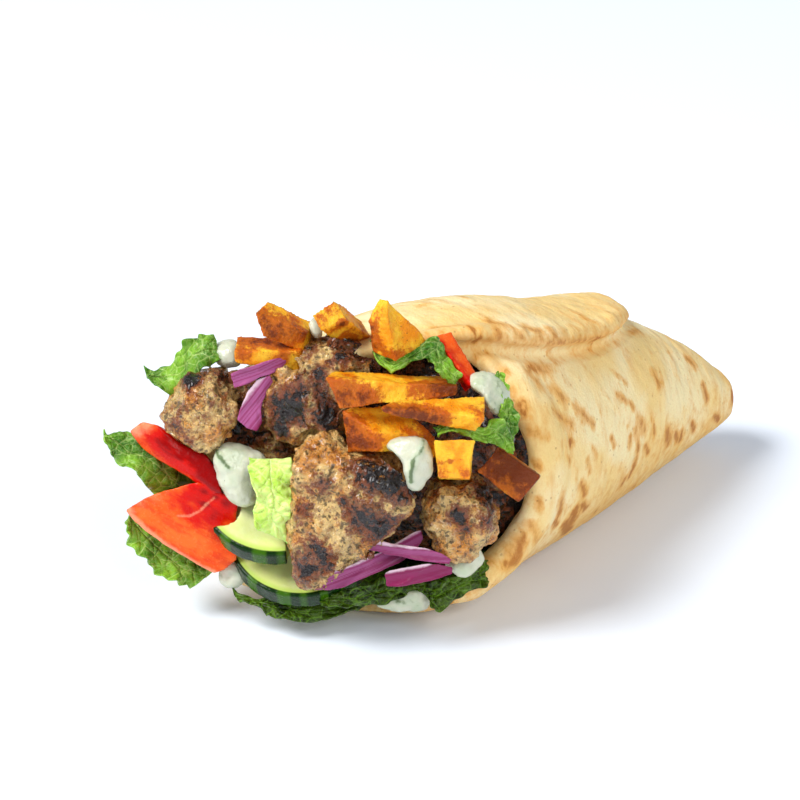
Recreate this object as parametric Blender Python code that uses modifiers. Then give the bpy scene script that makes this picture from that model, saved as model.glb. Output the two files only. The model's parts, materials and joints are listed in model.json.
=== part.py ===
"""A pita sandwich: flatbread rolled into a cone round grilled chicken, fries and salad.

The wrap lies on its side with its open mouth towards -X and -Y and its closed tip
towards +X. Its fillings are placed in the frame of the slanted mouth, where a place
is given as millimetres to the right, upwards and outwards.
"""

import math

import bmesh
import bpy
from mathutils import Euler, Matrix, Vector, geometry, noise

# Units and clearances; lengths below are millimetres unless they say otherwise.
MM = 0.001
GAP = 0.35
LINING_GAP = 0.95
COLLECTION = "pita_sandwich"

# Bread
BREAD_THICK = 4.6
BREAD_SIDES = 28
BREAD_UNDULATION = 0.7
SECTION_POWER = 2.15
SOLE_CUT = 1.0
STATION_BLEND = 9.0
WRAP_STATIONS = (
    # along X, half width, height, middle in Y, underside above the table
    (-60.0, 39.0, 71.0, 0.0, 0.0),
    (-12.0, 40.5, 74.5, 0.0, 0.0),
    (18.0, 40.5, 80.5, 0.0, 0.0),
    (45.0, 35.5, 77.2, 1.5, 0.0),
    (75.0, 31.0, 66.5, 4.0, 0.0),
    (100.0, 28.0, 59.0, 7.0, 1.0),
    (120.0, 20.5, 43.0, 5.5, 4.0),
    (136.0, 15.0, 32.0, 1.5, 8.0),
    (146.0, 6.0, 12.5, -2.0, 12.0),
)
TIP = (148.5, -2.5, 18.0)
POCKET_END = 128.0

# Shares of the bread's length, from the mouth, where its cross-sections stand
OUTSIDE_SHARES = (0.985, 0.96, 0.92, 0.86, 0.77, 0.66, 0.55, 0.44, 0.33, 0.23, 0.14, 0.06)
POCKET_SHARES = (0.1, 0.25, 0.45, 0.65, 0.83, 0.95)
RIM_STEPS = 4

# The mouth is a slanted cut through the roll, with an uneven edge.
MOUTH_SLANT = 0.88
LIP_DIPS = (
    # angle round the edge, reach of the dip, how far it moves the edge along X
    (42.0, 15.0, 4.0),
    (135.0, 28.0, -12.0),
    (265.0, 35.0, 6.0),
)

# The free end of the bread, folded over the top of the roll
FLAP_MIDDLE_X = 55.0
FLAP_MOUTH_REACH = 62.0
FLAP_TIP_REACH = 47.5
FLAP_FALL = 41.0
FLAP_FAR_ANGLE = -95.0
FLAP_FAR_END = 95.0
FLAP_FULL_ANGLE = 12.0
FLAP_SUNK = 1.6
FLAP_MOUTH_SHARE = 0.25
FLAP_TIP_SHARE = 0.15
FLAP_TIP_SWEEP = 6.0
FLAP_COLUMNS = 24
FLAP_DEPTHS = (0.0, 0.015, 0.05, 0.12, 0.3, 0.6, 1.0)
FLAP_EDGE_DEPTH = 0.05

# Filling that runs through the roll
FILL_SIDES = 24
FILL_CENTRE_HEIGHT = 42.0
FILL_BULGE = 5.0
FILL_RECESS = 9.0
FILL_END = 100.0
FILL_TAIL_SLACK = 2.0
FILL_LUMPS = 1.6
BED_THICK = 3.0
BED_HALF_ANGLE = 62.0
BED_STEPS = 8

LEAF_THICK = 0.9
LEAF_ROWS = 10
LEAF_COLUMNS = 4
FLOOR_CLEAR = 0.9
CAGE_GROWTH = 1.08

# Colours, linear, and roughness of each kind of piece
BREAD = ((0.80, 0.58, 0.29), 0.75)
CHICKEN = ((0.36, 0.20, 0.08), 0.45)
FRY = ((0.76, 0.36, 0.06), 0.5)
ONION = ((0.38, 0.08, 0.22), 0.35)
TOMATO = ((0.68, 0.06, 0.02), 0.3)
CUCUMBER = ((0.62, 0.72, 0.35), 0.35)
LETTUCE = ((0.12, 0.32, 0.03), 0.4)
PALE_LETTUCE = ((0.42, 0.62, 0.14), 0.4)
SAUCE = ((0.83, 0.83, 0.74), 0.35)


def start_scene():
    """Clear the scene and make the collections for the food and its cutters."""
    for old in list(bpy.data.objects):
        bpy.data.objects.remove(old, do_unlink=True)
    food = bpy.data.collections.new(COLLECTION)
    cutters = bpy.data.collections.new("cutters")
    bpy.context.scene.collection.children.link(food)
    bpy.context.scene.collection.children.link(cutters)
    return food, cutters


def smooth(value):
    """Ease a value from 0 to 1."""
    value = min(max(value, 0.0), 1.0)
    return value * value * (3.0 - 2.0 * value)


def station(x):
    """Half width, height, middle and underside of the roll, eased between stations."""
    sums = [0.0] * 4
    steps = 5
    for step in range(steps):
        at = x + STATION_BLEND * (2.0 * step / (steps - 1) - 1.0)
        at = min(max(at, WRAP_STATIONS[0][0]), WRAP_STATIONS[-1][0])
        for low, high in zip(WRAP_STATIONS, WRAP_STATIONS[1:]):
            if at <= high[0]:
                break
        mix = (at - low[0]) / (high[0] - low[0])
        for column in range(4):
            sums[column] += (low[column + 1] * (1.0 - mix) + high[column + 1] * mix) / steps
    return sums


def signed_power(value, power):
    return math.copysign(abs(value) ** power, value)


def roll_point(x, degrees, grow=0.0):
    """A point on the roll; the angle runs from the top over the near side."""
    half_width, height, middle, under = station(x)
    angle = math.radians(degrees)
    across = signed_power(math.sin(angle), 2.0 / SECTION_POWER)
    upward = signed_power(math.cos(angle), 2.0 / SECTION_POWER)
    y = middle - max(half_width + grow, 0.5) * across
    z = under + height / 2.0 + max(height / 2.0 + grow, 0.5) * upward
    return Vector((x, y, max(z - SOLE_CUT, 0.0)))


def roll_middle(x):
    """The middle of the roll's section."""
    _, height, middle, under = station(x)
    return Vector((x, middle, under + height / 2.0 - SOLE_CUT))


def bread_swell(x, degrees):
    """Gentle unevenness of the baked sheet, none where it lies on the table."""
    spot = roll_point(x, degrees)
    wave = noise.noise(Vector((x / 26.0, spot.y / 20.0, spot.z / 20.0)))
    return BREAD_UNDULATION * wave * smooth(spot.z / 8.0)


def angle_between(first, second):
    return abs((first - second + 180.0) % 360.0 - 180.0)


def mouth_edge(degrees):
    """Where the bread ends along X at an angle round the mouth."""
    edge = -MOUTH_SLANT * roll_point(0.0, degrees).y
    for angle, reach, shift in LIP_DIPS:
        edge += shift * math.exp(-((angle_between(degrees, angle) / reach) ** 2))
    return edge + 1.1 * noise.noise(Vector((math.radians(degrees) * 2.2, 3.0, 0.5)))


def closed_loft(rings, start=None, end=None):
    """A closed bmesh through rings of points, each end a pole or a flat cap."""
    bm = bmesh.new()
    loops = [[bm.verts.new(point * MM) for point in ring] for ring in rings]
    count = len(rings[0])
    for loop, after in zip(loops, loops[1:]):
        for side in range(count):
            nxt = (side + 1) % count
            bm.faces.new((loop[side], loop[nxt], after[nxt], after[side]))
    for loop, pole in ((loops[0], start), (loops[-1], end)):
        if pole is None:
            bm.faces.new(loop)
            continue
        vertex = bm.verts.new(pole * MM)
        for side in range(count):
            bm.faces.new((loop[side], loop[(side + 1) % count], vertex))
    bmesh.ops.recalc_face_normals(bm, faces=bm.faces)
    return bm


def make_object(name, bm, finish, collection):
    """Turn a bmesh into an object of its own finish."""
    bmesh.ops.recalc_face_normals(bm, faces=bm.faces)
    mesh = bpy.data.meshes.new(name)
    bm.to_mesh(mesh)
    bm.free()
    mesh.shade_smooth()
    piece = bpy.data.objects.new(name, mesh)
    collection.objects.link(piece)
    paint(piece, finish)
    return piece


def paint(piece, finish):
    colour, roughness = finish
    material = bpy.data.materials.new(piece.name + "_finish")
    material.use_nodes = True
    shader = material.node_tree.nodes["Principled BSDF"]
    shader.inputs["Base Color"].default_value = (*colour, 1.0)
    shader.inputs["Roughness"].default_value = roughness
    shader.inputs["Metallic"].default_value = 0.0
    piece.data.materials.clear()
    piece.data.materials.append(material)


def apply_modifiers(piece):
    """Replace a piece's mesh by its evaluated one."""
    bpy.context.view_layer.update()
    evaluated = piece.evaluated_get(bpy.context.evaluated_depsgraph_get())
    mesh = bpy.data.meshes.new_from_object(evaluated)
    piece.modifiers.clear()
    if piece.type == "CURVE":
        solid = bpy.data.objects.new(piece.name + "_solid", mesh)
        solid.matrix_world = piece.matrix_world
        piece.users_collection[0].objects.link(solid)
        name = piece.name
        bpy.data.objects.remove(piece, do_unlink=True)
        solid.name = name
        return solid
    piece.data = mesh
    return piece


def bread_shell(food):
    """The rolled bread as a closed bag, thick at its rim, with the pocket inside."""
    angles = [360.0 * side / BREAD_SIDES for side in range(BREAD_SIDES)]

    def ring(along, inset, end, forward=0.0):
        points = []
        for degrees in angles:
            edge = mouth_edge(degrees) - forward
            x = edge + along * (end - edge)
            points.append(roll_point(x, degrees, bread_swell(x, degrees) - inset))
        return points

    rings = [ring(along, 0.0, TIP[0]) for along in OUTSIDE_SHARES]
    rounding = BREAD_THICK / 2.0
    for step in range(RIM_STEPS + 1):
        turn = math.pi * step / RIM_STEPS
        inset = rounding * (1.0 - math.cos(turn))
        rings.append(ring(0.0, inset, TIP[0], rounding * math.sin(turn)))
    rings += [ring(along, BREAD_THICK, POCKET_END) for along in POCKET_SHARES]
    bm = closed_loft(rings, start=Vector(TIP), end=roll_middle(POCKET_END))
    return make_object("pita", bm, BREAD, food)


def flap_edge(along):
    """The free edge of the flap as (x, angle), from the mouth's far side to the tip's."""
    start = FLAP_MIDDLE_X - FLAP_MOUTH_REACH
    if along < FLAP_MOUTH_SHARE:
        mix = along / FLAP_MOUTH_SHARE
        degrees = FLAP_FAR_ANGLE * (1.0 - mix)
        return mouth_edge(degrees) + (start - mouth_edge(0.0)) * smooth(mix), degrees
    if along > 1.0 - FLAP_TIP_SHARE:
        mix = (along - 1.0 + FLAP_TIP_SHARE) / FLAP_TIP_SHARE
        return FLAP_MIDDLE_X + FLAP_TIP_REACH - FLAP_TIP_SWEEP * mix, FLAP_FAR_ANGLE * mix
    share = (along - FLAP_MOUTH_SHARE) / (1.0 - FLAP_MOUTH_SHARE - FLAP_TIP_SHARE)
    turn = math.pi * (1.0 - share)
    reach, power = (FLAP_MOUTH_REACH, 2.0) if turn > math.pi / 2.0 else (FLAP_TIP_REACH, 3.0)
    x = FLAP_MIDDLE_X + reach * signed_power(math.cos(turn), 2.0 / power)
    return x, FLAP_FALL * math.sin(turn) ** (2.0 / power)


def bread_flap(cutters):
    """The folded-over end: a slab on the roll whose far side sinks into it."""
    far_start = mouth_edge(FLAP_FAR_ANGLE)

    def slab_point(along, depth, top):
        x, degrees = flap_edge(along)
        x += (far_start + along * (FLAP_FAR_END - far_start) - x) * depth
        degrees += (FLAP_FAR_ANGLE - degrees) * depth
        if not top:
            return roll_point(x, degrees, -FLAP_SUNK)
        rise = math.sqrt(1.0 - (1.0 - min(depth / FLAP_EDGE_DEPTH, 1.0)) ** 2)
        fade = smooth((degrees - FLAP_FAR_ANGLE) / (FLAP_FULL_ANGLE - FLAP_FAR_ANGLE)) ** 2
        swell = 1.3 * bread_swell(x, degrees) * rise
        lift = (BREAD_THICK + FLAP_SUNK / 2.0) * (0.35 + 0.65 * rise) * fade - FLAP_SUNK / 2.0
        return roll_point(x, degrees, lift + swell)

    bm = bmesh.new()
    grids = []
    for top in (True, False):
        grid = []
        for column in range(FLAP_COLUMNS + 1):
            along = 0.02 + 0.96 * column / FLAP_COLUMNS
            points = [slab_point(along, depth, top) for depth in FLAP_DEPTHS]
            grid.append([bm.verts.new(point * MM) for point in points])
        grids.append(grid)
    rows = len(FLAP_DEPTHS) - 1
    for grid in grids:
        for column in range(FLAP_COLUMNS):
            for row in range(rows):
                bm.faces.new((grid[column][row], grid[column + 1][row],
                              grid[column + 1][row + 1], grid[column][row + 1]))
    upper, lower = grids
    border = [(column, 0) for column in range(FLAP_COLUMNS)]
    border += [(FLAP_COLUMNS, row) for row in range(rows)]
    border += [(FLAP_COLUMNS - column, rows) for column in range(FLAP_COLUMNS)]
    border += [(0, rows - row) for row in range(rows)]
    for (c1, r1), (c2, r2) in zip(border, border[1:] + border[:1]):
        bm.faces.new((upper[c1][r1], lower[c1][r1], lower[c2][r2], upper[c2][r2]))
    return make_object("flap", bm, BREAD, cutters)


def join_bread(food, cutters):
    """Union the roll and its flap into one piece of bread."""
    pita = bread_shell(food)
    flap = bread_flap(cutters)
    union = pita.modifiers.new("flap", "BOOLEAN")
    union.operation = "UNION"
    union.object = flap
    union.solver = "EXACT"
    grown = [grown_copy(pita, cutters), grown_copy(flap, cutters)]
    apply_modifiers(pita)
    paint(pita, BREAD)
    bpy.data.objects.remove(flap, do_unlink=True)
    return pita, grown


def bed_share(degrees):
    """How much of the lettuce bed lies at an angle round the roll."""
    return smooth((BED_HALF_ANGLE - angle_between(degrees, 180.0)) / 14.0)


def fill_core(food):
    """The packed filling behind the pieces that show at the mouth."""
    angles = [360.0 * side / FILL_SIDES for side in range(FILL_SIDES)]
    slope = math.hypot(1.0, MOUTH_SLANT)

    def side_inset(degrees):
        return BREAD_THICK + LINING_GAP + (BED_THICK + LINING_GAP) * bed_share(degrees)

    def front_point(degrees, share):
        rim = roll_point(0.0, degrees, -side_inset(degrees))
        middle = Vector((0.0, 0.0, FILL_CENTRE_HEIGHT))
        spot = middle + (rim - middle) * share
        out = FILL_BULGE - (FILL_BULGE + FILL_RECESS) * share ** 2
        out += FILL_LUMPS * noise.noise(Vector((spot.y / 9.0, spot.z / 9.0, 4.0)))
        return Vector((-MOUTH_SLANT * spot.y - slope * out, spot.y, spot.z))

    rings = []
    for share in (0.22, 0.45, 0.66, 0.84, 0.96):
        rings.append([front_point(degrees, share) for degrees in angles])
    for along in (0.05, 0.2, 0.4, 0.6, 0.8, 0.95):
        ring = []
        for degrees in angles:
            start = front_point(degrees, 1.0).x
            x = start + along * (FILL_END - start)
            inset = side_inset(degrees) + FILL_TAIL_SLACK * smooth(along)
            ring.append(roll_point(x, degrees, bread_swell(x, degrees) - inset))
        rings.append(ring)
    rings.append([roll_point(FILL_END + 3.0, degrees, -side_inset(degrees) - 7.0)
                  for degrees in angles])
    bm = closed_loft(rings, start=front_point(0.0, 0.0), end=roll_middle(FILL_END + 4.0))
    return make_object("chicken_filling", bm, CHICKEN, food)


def lettuce_bed(food):
    """The layer of lettuce that lines the underside of the pocket."""
    outer = BREAD_THICK + LINING_GAP
    rings = []
    for along in (0.0, 0.07, 0.25, 0.45, 0.65, 0.85, 1.0):
        ring = []
        taper = 0.35 + 0.65 * smooth(min(along, 1.0 - along) / 0.07)
        for face in (0, 1):
            for step in range(BED_STEPS + 1):
                mix = step / BED_STEPS if face == 0 else 1.0 - step / BED_STEPS
                spread = (mix * 2.0 - 1.0) * (BED_HALF_ANGLE - 3.0)
                edge_taper = smooth((1.0 - abs(mix * 2.0 - 1.0)) / 0.16)
                thick = BED_THICK * taper * max(edge_taper, 0.12)
                degrees = 180.0 + spread
                start = mouth_edge(degrees) + 6.0
                x = start + along * (FILL_END - 4.0 - start)
                inset = outer if face == 0 else outer + thick
                ring.append(roll_point(x, degrees, bread_swell(x, degrees) - inset))
        rings.append(ring)
    return make_object("lettuce_bed", closed_loft(rings), LETTUCE, food)


def mouth_frame():
    """The frame of the mouth: right, up and out, from the roll's frame."""
    length = math.hypot(1.0, MOUTH_SLANT)
    right = Vector((MOUTH_SLANT, -1.0, 0.0)) / length
    outward = Vector((-1.0, -MOUTH_SLANT, 0.0)) / length
    return Matrix((right, Vector((0.0, 0.0, 1.0)), outward)).transposed().to_4x4()


def set_in_mouth(piece, mouth, at=(0.0, 0.0, 0.0), turn=(0.0, 0.0, 0.0)):
    """Parent a piece to the mouth at a place and turn in its frame."""
    piece.parent = mouth
    piece.location = Vector(at) * MM
    piece.rotation_euler = Euler([math.radians(angle) for angle in turn])


def roughen(piece, depth, size, seed):
    """Push a piece's surface in and out by a fixed noise."""
    mesh = piece.data
    for vertex in mesh.vertices:
        spot = vertex.co / (size * MM) + Vector((seed * 7.3, seed * 3.1, seed * 1.7))
        push = noise.noise(spot) + 0.5 * noise.noise(spot * 2.3)
        vertex.co += vertex.normal * push * depth * MM


def lump(name, food, mouth, outline, back, front, finish, relief, grain, dome=0.72, layers=3):
    """A rounded body over an outline in the mouth's plane, from a subdivided cage."""
    middle = sum((Vector(point) for point in outline), Vector((0.0, 0.0))) / len(outline)
    halfway = (front + back) / 2.0
    depth = (front - back) * CAGE_GROWTH
    rings = []
    for layer in range(layers):
        place = layer / (layers - 1) - 0.5
        scale = 1.0 - (1.0 - dome) * (2.0 * abs(place)) ** 2.5
        ring = []
        for point in outline:
            spot = (Vector(point) - middle) * scale * CAGE_GROWTH
            ring.append(Vector((spot.x, spot.y, place * depth)))
        rings.append(ring)
    piece = make_object(name, closed_loft(rings), finish, food)
    subdivide = piece.modifiers.new("rounding", "SUBSURF")
    subdivide.levels = 1
    subdivide.render_levels = 1
    apply_modifiers(piece)
    paint(piece, finish)
    roughen(piece, relief, grain, len(name) + outline[0][0])
    set_in_mouth(piece, mouth, (middle.x, middle.y, halfway))
    return piece


def fry(name, food, mouth, front, back, width, height, roll=0.0, taper=0.9, tip=1.0):
    """A cut potato stick from its front end to its back end, slightly bent."""
    front = Vector(front)
    back = Vector(back)
    axis = front - back
    length = axis.length
    bm = bmesh.new()
    bmesh.ops.create_cube(bm, size=1.0)
    bmesh.ops.scale(bm, vec=Vector((width, height, length)) * MM, verts=bm.verts)
    bmesh.ops.bevel(bm, geom=bm.edges[:], offset=1.2 * MM, segments=1, affect="EDGES")
    for share in (-0.28, 0.0, 0.28):
        bmesh.ops.bisect_plane(bm, geom=bm.verts[:] + bm.edges[:] + bm.faces[:],
                               plane_co=(0.0, 0.0, share * length * MM), plane_no=(0.0, 0.0, 1.0))
    bend = 0.035 * length * MM
    for vertex in bm.verts:
        share = vertex.co.z / (length * MM) + 0.5
        narrow = taper + (1.0 - taper) * math.sin(math.pi * share)
        if tip < 1.0:
            narrow *= 1.0 - (1.0 - tip) * smooth((share - 0.45) / 0.55)
        vertex.co.x *= narrow
        vertex.co.y *= narrow
        vertex.co.y += bend * math.sin(math.pi * share)
    piece = make_object(name, bm, FRY, food)
    roughen(piece, 0.35, 6.0, front.x)
    piece.parent = mouth
    piece.location = (front + back) / 2.0 * MM
    turn = axis.to_track_quat("Z", "Y") @ Euler((0.0, 0.0, math.radians(roll))).to_quaternion()
    piece.rotation_euler = turn.to_euler()
    return piece


def onion_strip(name, food, mouth, middle, turn, radius, span, width, thick):
    """A strip of onion ring: a flat curve that bulges outwards, with rounded edges."""
    curve = bpy.data.curves.new(name, "CURVE")
    curve.dimensions = "3D"
    curve.fill_mode = "FULL"
    curve.use_fill_caps = True
    curve.extrude = (width - thick) / 2.0 * MM
    curve.bevel_depth = thick / 2.0 * MM
    curve.bevel_resolution = 0
    curve.twist_mode = "Z_UP"
    points = 8
    spline = curve.splines.new("POLY")
    spline.points.add(points - 1)
    for index, point in enumerate(spline.points):
        share = index / (points - 1)
        angle = math.radians(span * (share - 0.5))
        x = radius * math.sin(angle)
        y = radius * (math.cos(angle) - 1.0)
        point.co = (x * MM, y * MM, 0.0, 1.0)
        point.radius = 0.55 + 0.45 * smooth(min(share, 1.0 - share) / 0.3)
    strip = bpy.data.objects.new(name, curve)
    food.objects.link(strip)
    piece = apply_modifiers(strip)
    bm = bmesh.new()
    bm.from_mesh(piece.data)
    bmesh.ops.remove_doubles(bm, verts=bm.verts, dist=0.00005)
    bmesh.ops.recalc_face_normals(bm, faces=bm.faces)
    bm.to_mesh(piece.data)
    bm.free()
    paint(piece, ONION)
    roll, yaw, pitch = (math.radians(angle) for angle in turn)
    stand = Euler((math.radians(90.0), 0.0, 0.0)).to_matrix()
    spin = (Matrix.Rotation(roll, 3, "Z") @ Matrix.Rotation(yaw, 3, "Y")
            @ Matrix.Rotation(pitch, 3, "X"))
    piece.parent = mouth
    piece.location = Vector(middle) * MM
    piece.rotation_euler = (spin @ stand).to_euler()
    return piece


def cucumber_slice(name, food, mouth, middle, turn, radius, thick, cut_angle):
    """Half a slice of cucumber: a short cylinder cut along a straight line."""
    bm = bmesh.new()
    bmesh.ops.create_cone(bm, cap_ends=True, segments=30, radius1=radius * MM,
                          radius2=radius * MM, depth=thick * MM)
    normal = Vector((math.cos(math.radians(cut_angle)), math.sin(math.radians(cut_angle)), 0.0))
    cut = bmesh.ops.bisect_plane(bm, geom=bm.verts[:] + bm.edges[:] + bm.faces[:],
                                 plane_co=normal * (0.08 * radius * MM), plane_no=normal,
                                 clear_outer=True)
    edges = [item for item in cut["geom_cut"] if isinstance(item, bmesh.types.BMEdge)]
    bmesh.ops.contextual_create(bm, geom=edges)
    sharp = [edge for edge in bm.edges if edge.calc_face_angle(0.0) > math.radians(50.0)]
    bmesh.ops.bevel(bm, geom=sharp, offset=0.6 * MM, segments=1, affect="EDGES",
                    clamp_overlap=True)
    piece = make_object(name, bm, CUCUMBER, food)
    set_in_mouth(piece, mouth, middle, turn)
    return piece


def leaf(name, food, mouth, spine, width, facing, ruffle, waves, finish=LETTUCE, blunt=0.5):
    """A thin wavy leaf along a Bezier spine, widest past its middle, ruffled at its edges."""
    knots = [Vector(point) for point in spine]
    line = geometry.interpolate_bezier(*knots, LEAF_ROWS + 1)
    facing = Vector(facing).normalized()
    bm = bmesh.new()
    rows = []
    for index, spot in enumerate(line):
        share = index / LEAF_ROWS
        before = line[max(index - 1, 0)]
        after = line[min(index + 1, LEAF_ROWS)]
        side = (after - before).cross(facing).normalized()
        reach = width / 2.0 * max(math.sin(math.pi * (0.08 + 0.86 * share)), 0.0) ** blunt
        row = []
        for step in range(LEAF_COLUMNS + 1):
            offset = 2.0 * step / LEAF_COLUMNS - 1.0
            scallop = 1.0 + 0.1 * math.sin(waves * 9.0 * share + 1.7 * offset)
            wave = math.sin(math.tau * waves * share + 2.1 * (offset > 0.0))
            lift = ruffle * offset ** 2 * wave
            lift += 0.3 * ruffle * noise.noise(spot / 7.0 + Vector((offset, 0.0, width)))
            place = spot + side * reach * offset * scallop + facing * lift
            place.y = max(place.y, FLOOR_CLEAR)
            row.append(bm.verts.new(place * MM))
        rows.append(row)
    for row, after in zip(rows, rows[1:]):
        for step in range(LEAF_COLUMNS):
            bm.faces.new((row[step], row[step + 1], after[step + 1], after[step]))
    bmesh.ops.triangulate(bm, faces=bm.faces)
    piece = make_object(name, bm, finish, food)
    skin = piece.modifiers.new("leaf", "SOLIDIFY")
    skin.thickness = LEAF_THICK * MM
    skin.offset = 0.0
    apply_modifiers(piece)
    paint(piece, finish)
    set_in_mouth(piece, mouth)
    return piece


def add_chicken(food, mouth):
    """Grilled chunks, front ones first."""
    chunks = (
        ("chicken_front", 12.0, 31.0, 1.3, 8.0, 5,
         ((-13, 60), (-3, 61), (5, 57), (16, 58), (19, 48), (15, 36), (4, 28), (-4, 19),
          (-13, 18), (-14, 38))),
        ("chicken_right", 4.0, 23.0, 1.0, 7.0, 5,
         ((18, 42), (24, 49), (33, 48), (39, 40), (39, 31), (31, 25), (21, 29))),
        ("chicken_left", 0.0, 20.0, 1.3, 7.0, 5,
         ((-50, 60), (-45, 68), (-36, 74), (-28, 71), (-26, 60), (-31, 53), (-42, 53))),
        ("chicken_middle", 0.0, 18.0, 1.4, 7.0, 5,
         ((-23, 66), (-18, 77), (-8, 86), (3, 83), (8, 73), (4, 61), (-8, 52), (-19, 54))),
        ("chicken_low_left", -1.0, 11.0, 0.8, 6.0, 3,
         ((-31, 56), (-24, 60), (-14, 55), (-11, 49), (-17, 43), (-27, 45))),
    )
    return [lump(name, food, mouth, outline, back, front, CHICKEN, relief, grain, 0.72, layers)
            for name, back, front, relief, grain, layers, outline in chunks]


def add_fries(food, mouth):
    """Potato sticks from the top of the mouth down its right side."""
    sticks = (
        ("fry_top_left", (-21.0, 88.5, 13.0), (-4.0, 82.5, 5.0), 9.0, 9.5, 8.0, 0.85, 1.0),
        ("fry_left", (-28.0, 80.5, 15.0), (-9.0, 79.5, 10.0), 7.5, 8.0, 15.0, 0.9, 1.0),
        ("fry_top_middle", (-4.0, 89.0, 13.0), (7.0, 77.5, 1.5), 10.0, 9.5, 40.0, 0.9, 0.92),
        ("fry_top_right", (9.0, 90.0, 14.0), (17.0, 75.0, 2.0), 11.5, 11.0, 25.0, 0.9, 0.85),
        ("fry_long", (-3.5, 74.0, 23.0), (29.0, 71.0, 8.0), 9.5, 10.0, 10.0, 0.9, 1.0),
        ("fry_pointed", (12.0, 70.5, 27.0), (35.0, 68.0, 13.0), 8.5, 9.5, 0.0, 0.92, 0.45),
        ("fry_stub", (0.5, 61.5, 19.0), (26.0, 60.5, 6.0), 10.5, 11.0, 12.0, 0.9, 1.0),
        ("fry_square", (28.5, 60.0, 25.0), (26.0, 49.0, 2.0), 10.5, 10.8, -3.0, 0.95, 1.0),
        ("fry_skin", (47.5, 45.3, 14.0), (31.0, 56.2, 7.0), 6.0, 12.0, -8.0, 0.95, 1.0),
    )
    return [fry(name, food, mouth, front, back, width, height, roll, taper, tip)
            for name, front, back, width, height, roll, taper, tip in sticks]


def add_onions(food, mouth):
    """Strips of red onion."""
    strips = (
        ("onion_top_left", (-20.0, 75.2, 17.0), (14.0, -10.0, 5.0), 15.0, 76.0, 6.5, 2.6),
        ("onion_left", (-20.0, 67.0, 13.0), (52.0, 10.0, 0.0), 14.0, 95.0, 8.0, 2.6),
        ("onion_low", (8.0, 27.8, 28.0), (22.5, 8.0, 6.0), 36.0, 56.0, 6.5, 2.8),
        ("onion_middle", (14.0, 32.5, 28.0), (-9.0, 0.0, 8.0), 32.0, 46.0, 4.6, 2.4),
        ("onion_right", (20.0, 26.5, 28.5), (6.0, 6.0, 4.0), 26.0, 40.0, 6.0, 2.6),
    )
    return [onion_strip(name, food, mouth, *sizes) for name, *sizes in strips]


def add_tomatoes(food, mouth):
    """Tomato wedges at the left and one strip at the top right."""
    wedges = (
        ("tomato_upper", 8.0, 16.5, 0.4, 14.0, 0.8,
         ((-57, 57), (-50, 60), (-42, 56), (-31, 48), (-28, 37), (-37, 38), (-46, 46),
          (-54, 51))),
        ("tomato_lower", 10.0, 21.0, 0.5, 14.0, 0.78,
         ((-59, 35), (-51, 42), (-41, 45), (-32, 45), (-26, 37), (-28, 24), (-33, 16),
          (-45, 22), (-55, 29))),
        ("tomato_strip", 4.5, 9.5, 0.15, 9.0, 0.9,
         ((18, 86), (23, 87), (32, 72), (29, 67), (23, 72))),
    )
    return [lump(name, food, mouth, outline, back, front, TOMATO, relief, grain, dome)
            for name, back, front, relief, grain, dome, outline in wedges]


def add_cucumbers(food, mouth):
    """Two half slices of cucumber, one above the other."""
    return [
        cucumber_slice("cucumber_upper", food, mouth, (-18.5, 38.5, 7.0),
                       (-58.0, 4.0, 0.0), 21.0, 6.2, 90.0),
        cucumber_slice("cucumber_lower", food, mouth, (-12.5, 24.2, 5.0),
                       (-60.0, 2.0, 0.0), 20.0, 6.0, 100.0),
    ]


def add_sauces(food, mouth):
    """Spoonfuls of yoghurt sauce that sit between the pieces."""
    spoonfuls = (
        ("sauce_left", 8.0, 21.0, 0.7, 8.0,
         ((-37, 50), (-32, 57), (-22, 55), (-19, 46), (-22, 36), (-30, 35), (-32, 44))),
        ("sauce_top_left", -2.0, 9.0, 0.5, 7.0,
         ((-39, 74), (-34, 81), (-26, 80), (-25, 72), (-32, 69))),
        ("sauce_middle", 12.0, 26.0, 0.6, 6.0,
         ((7, 62), (13, 64), (22, 65), (24, 56), (21, 47), (17, 45), (14, 54))),
        ("sauce_right", 2.0, 14.0, 0.6, 6.0,
         ((30, 75), (36, 78), (41, 70), (40, 61), (33, 59), (31, 67))),
        ("sauce_low_left", 2.0, 15.0, 0.4, 8.0,
         ((-37, 16), (-33, 22), (-25, 22), (-22, 15), (-26, 9), (-33, 9))),
        ("sauce_low", 7.0, 17.0, 0.5, 6.0,
         ((5, 11), (10, 15), (19, 15), (22, 10), (18, 6), (10, 6))),
    )
    return [lump(name, food, mouth, outline, back, front, SAUCE, relief, grain, 0.7)
            for name, back, front, relief, grain, outline in spoonfuls]


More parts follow.
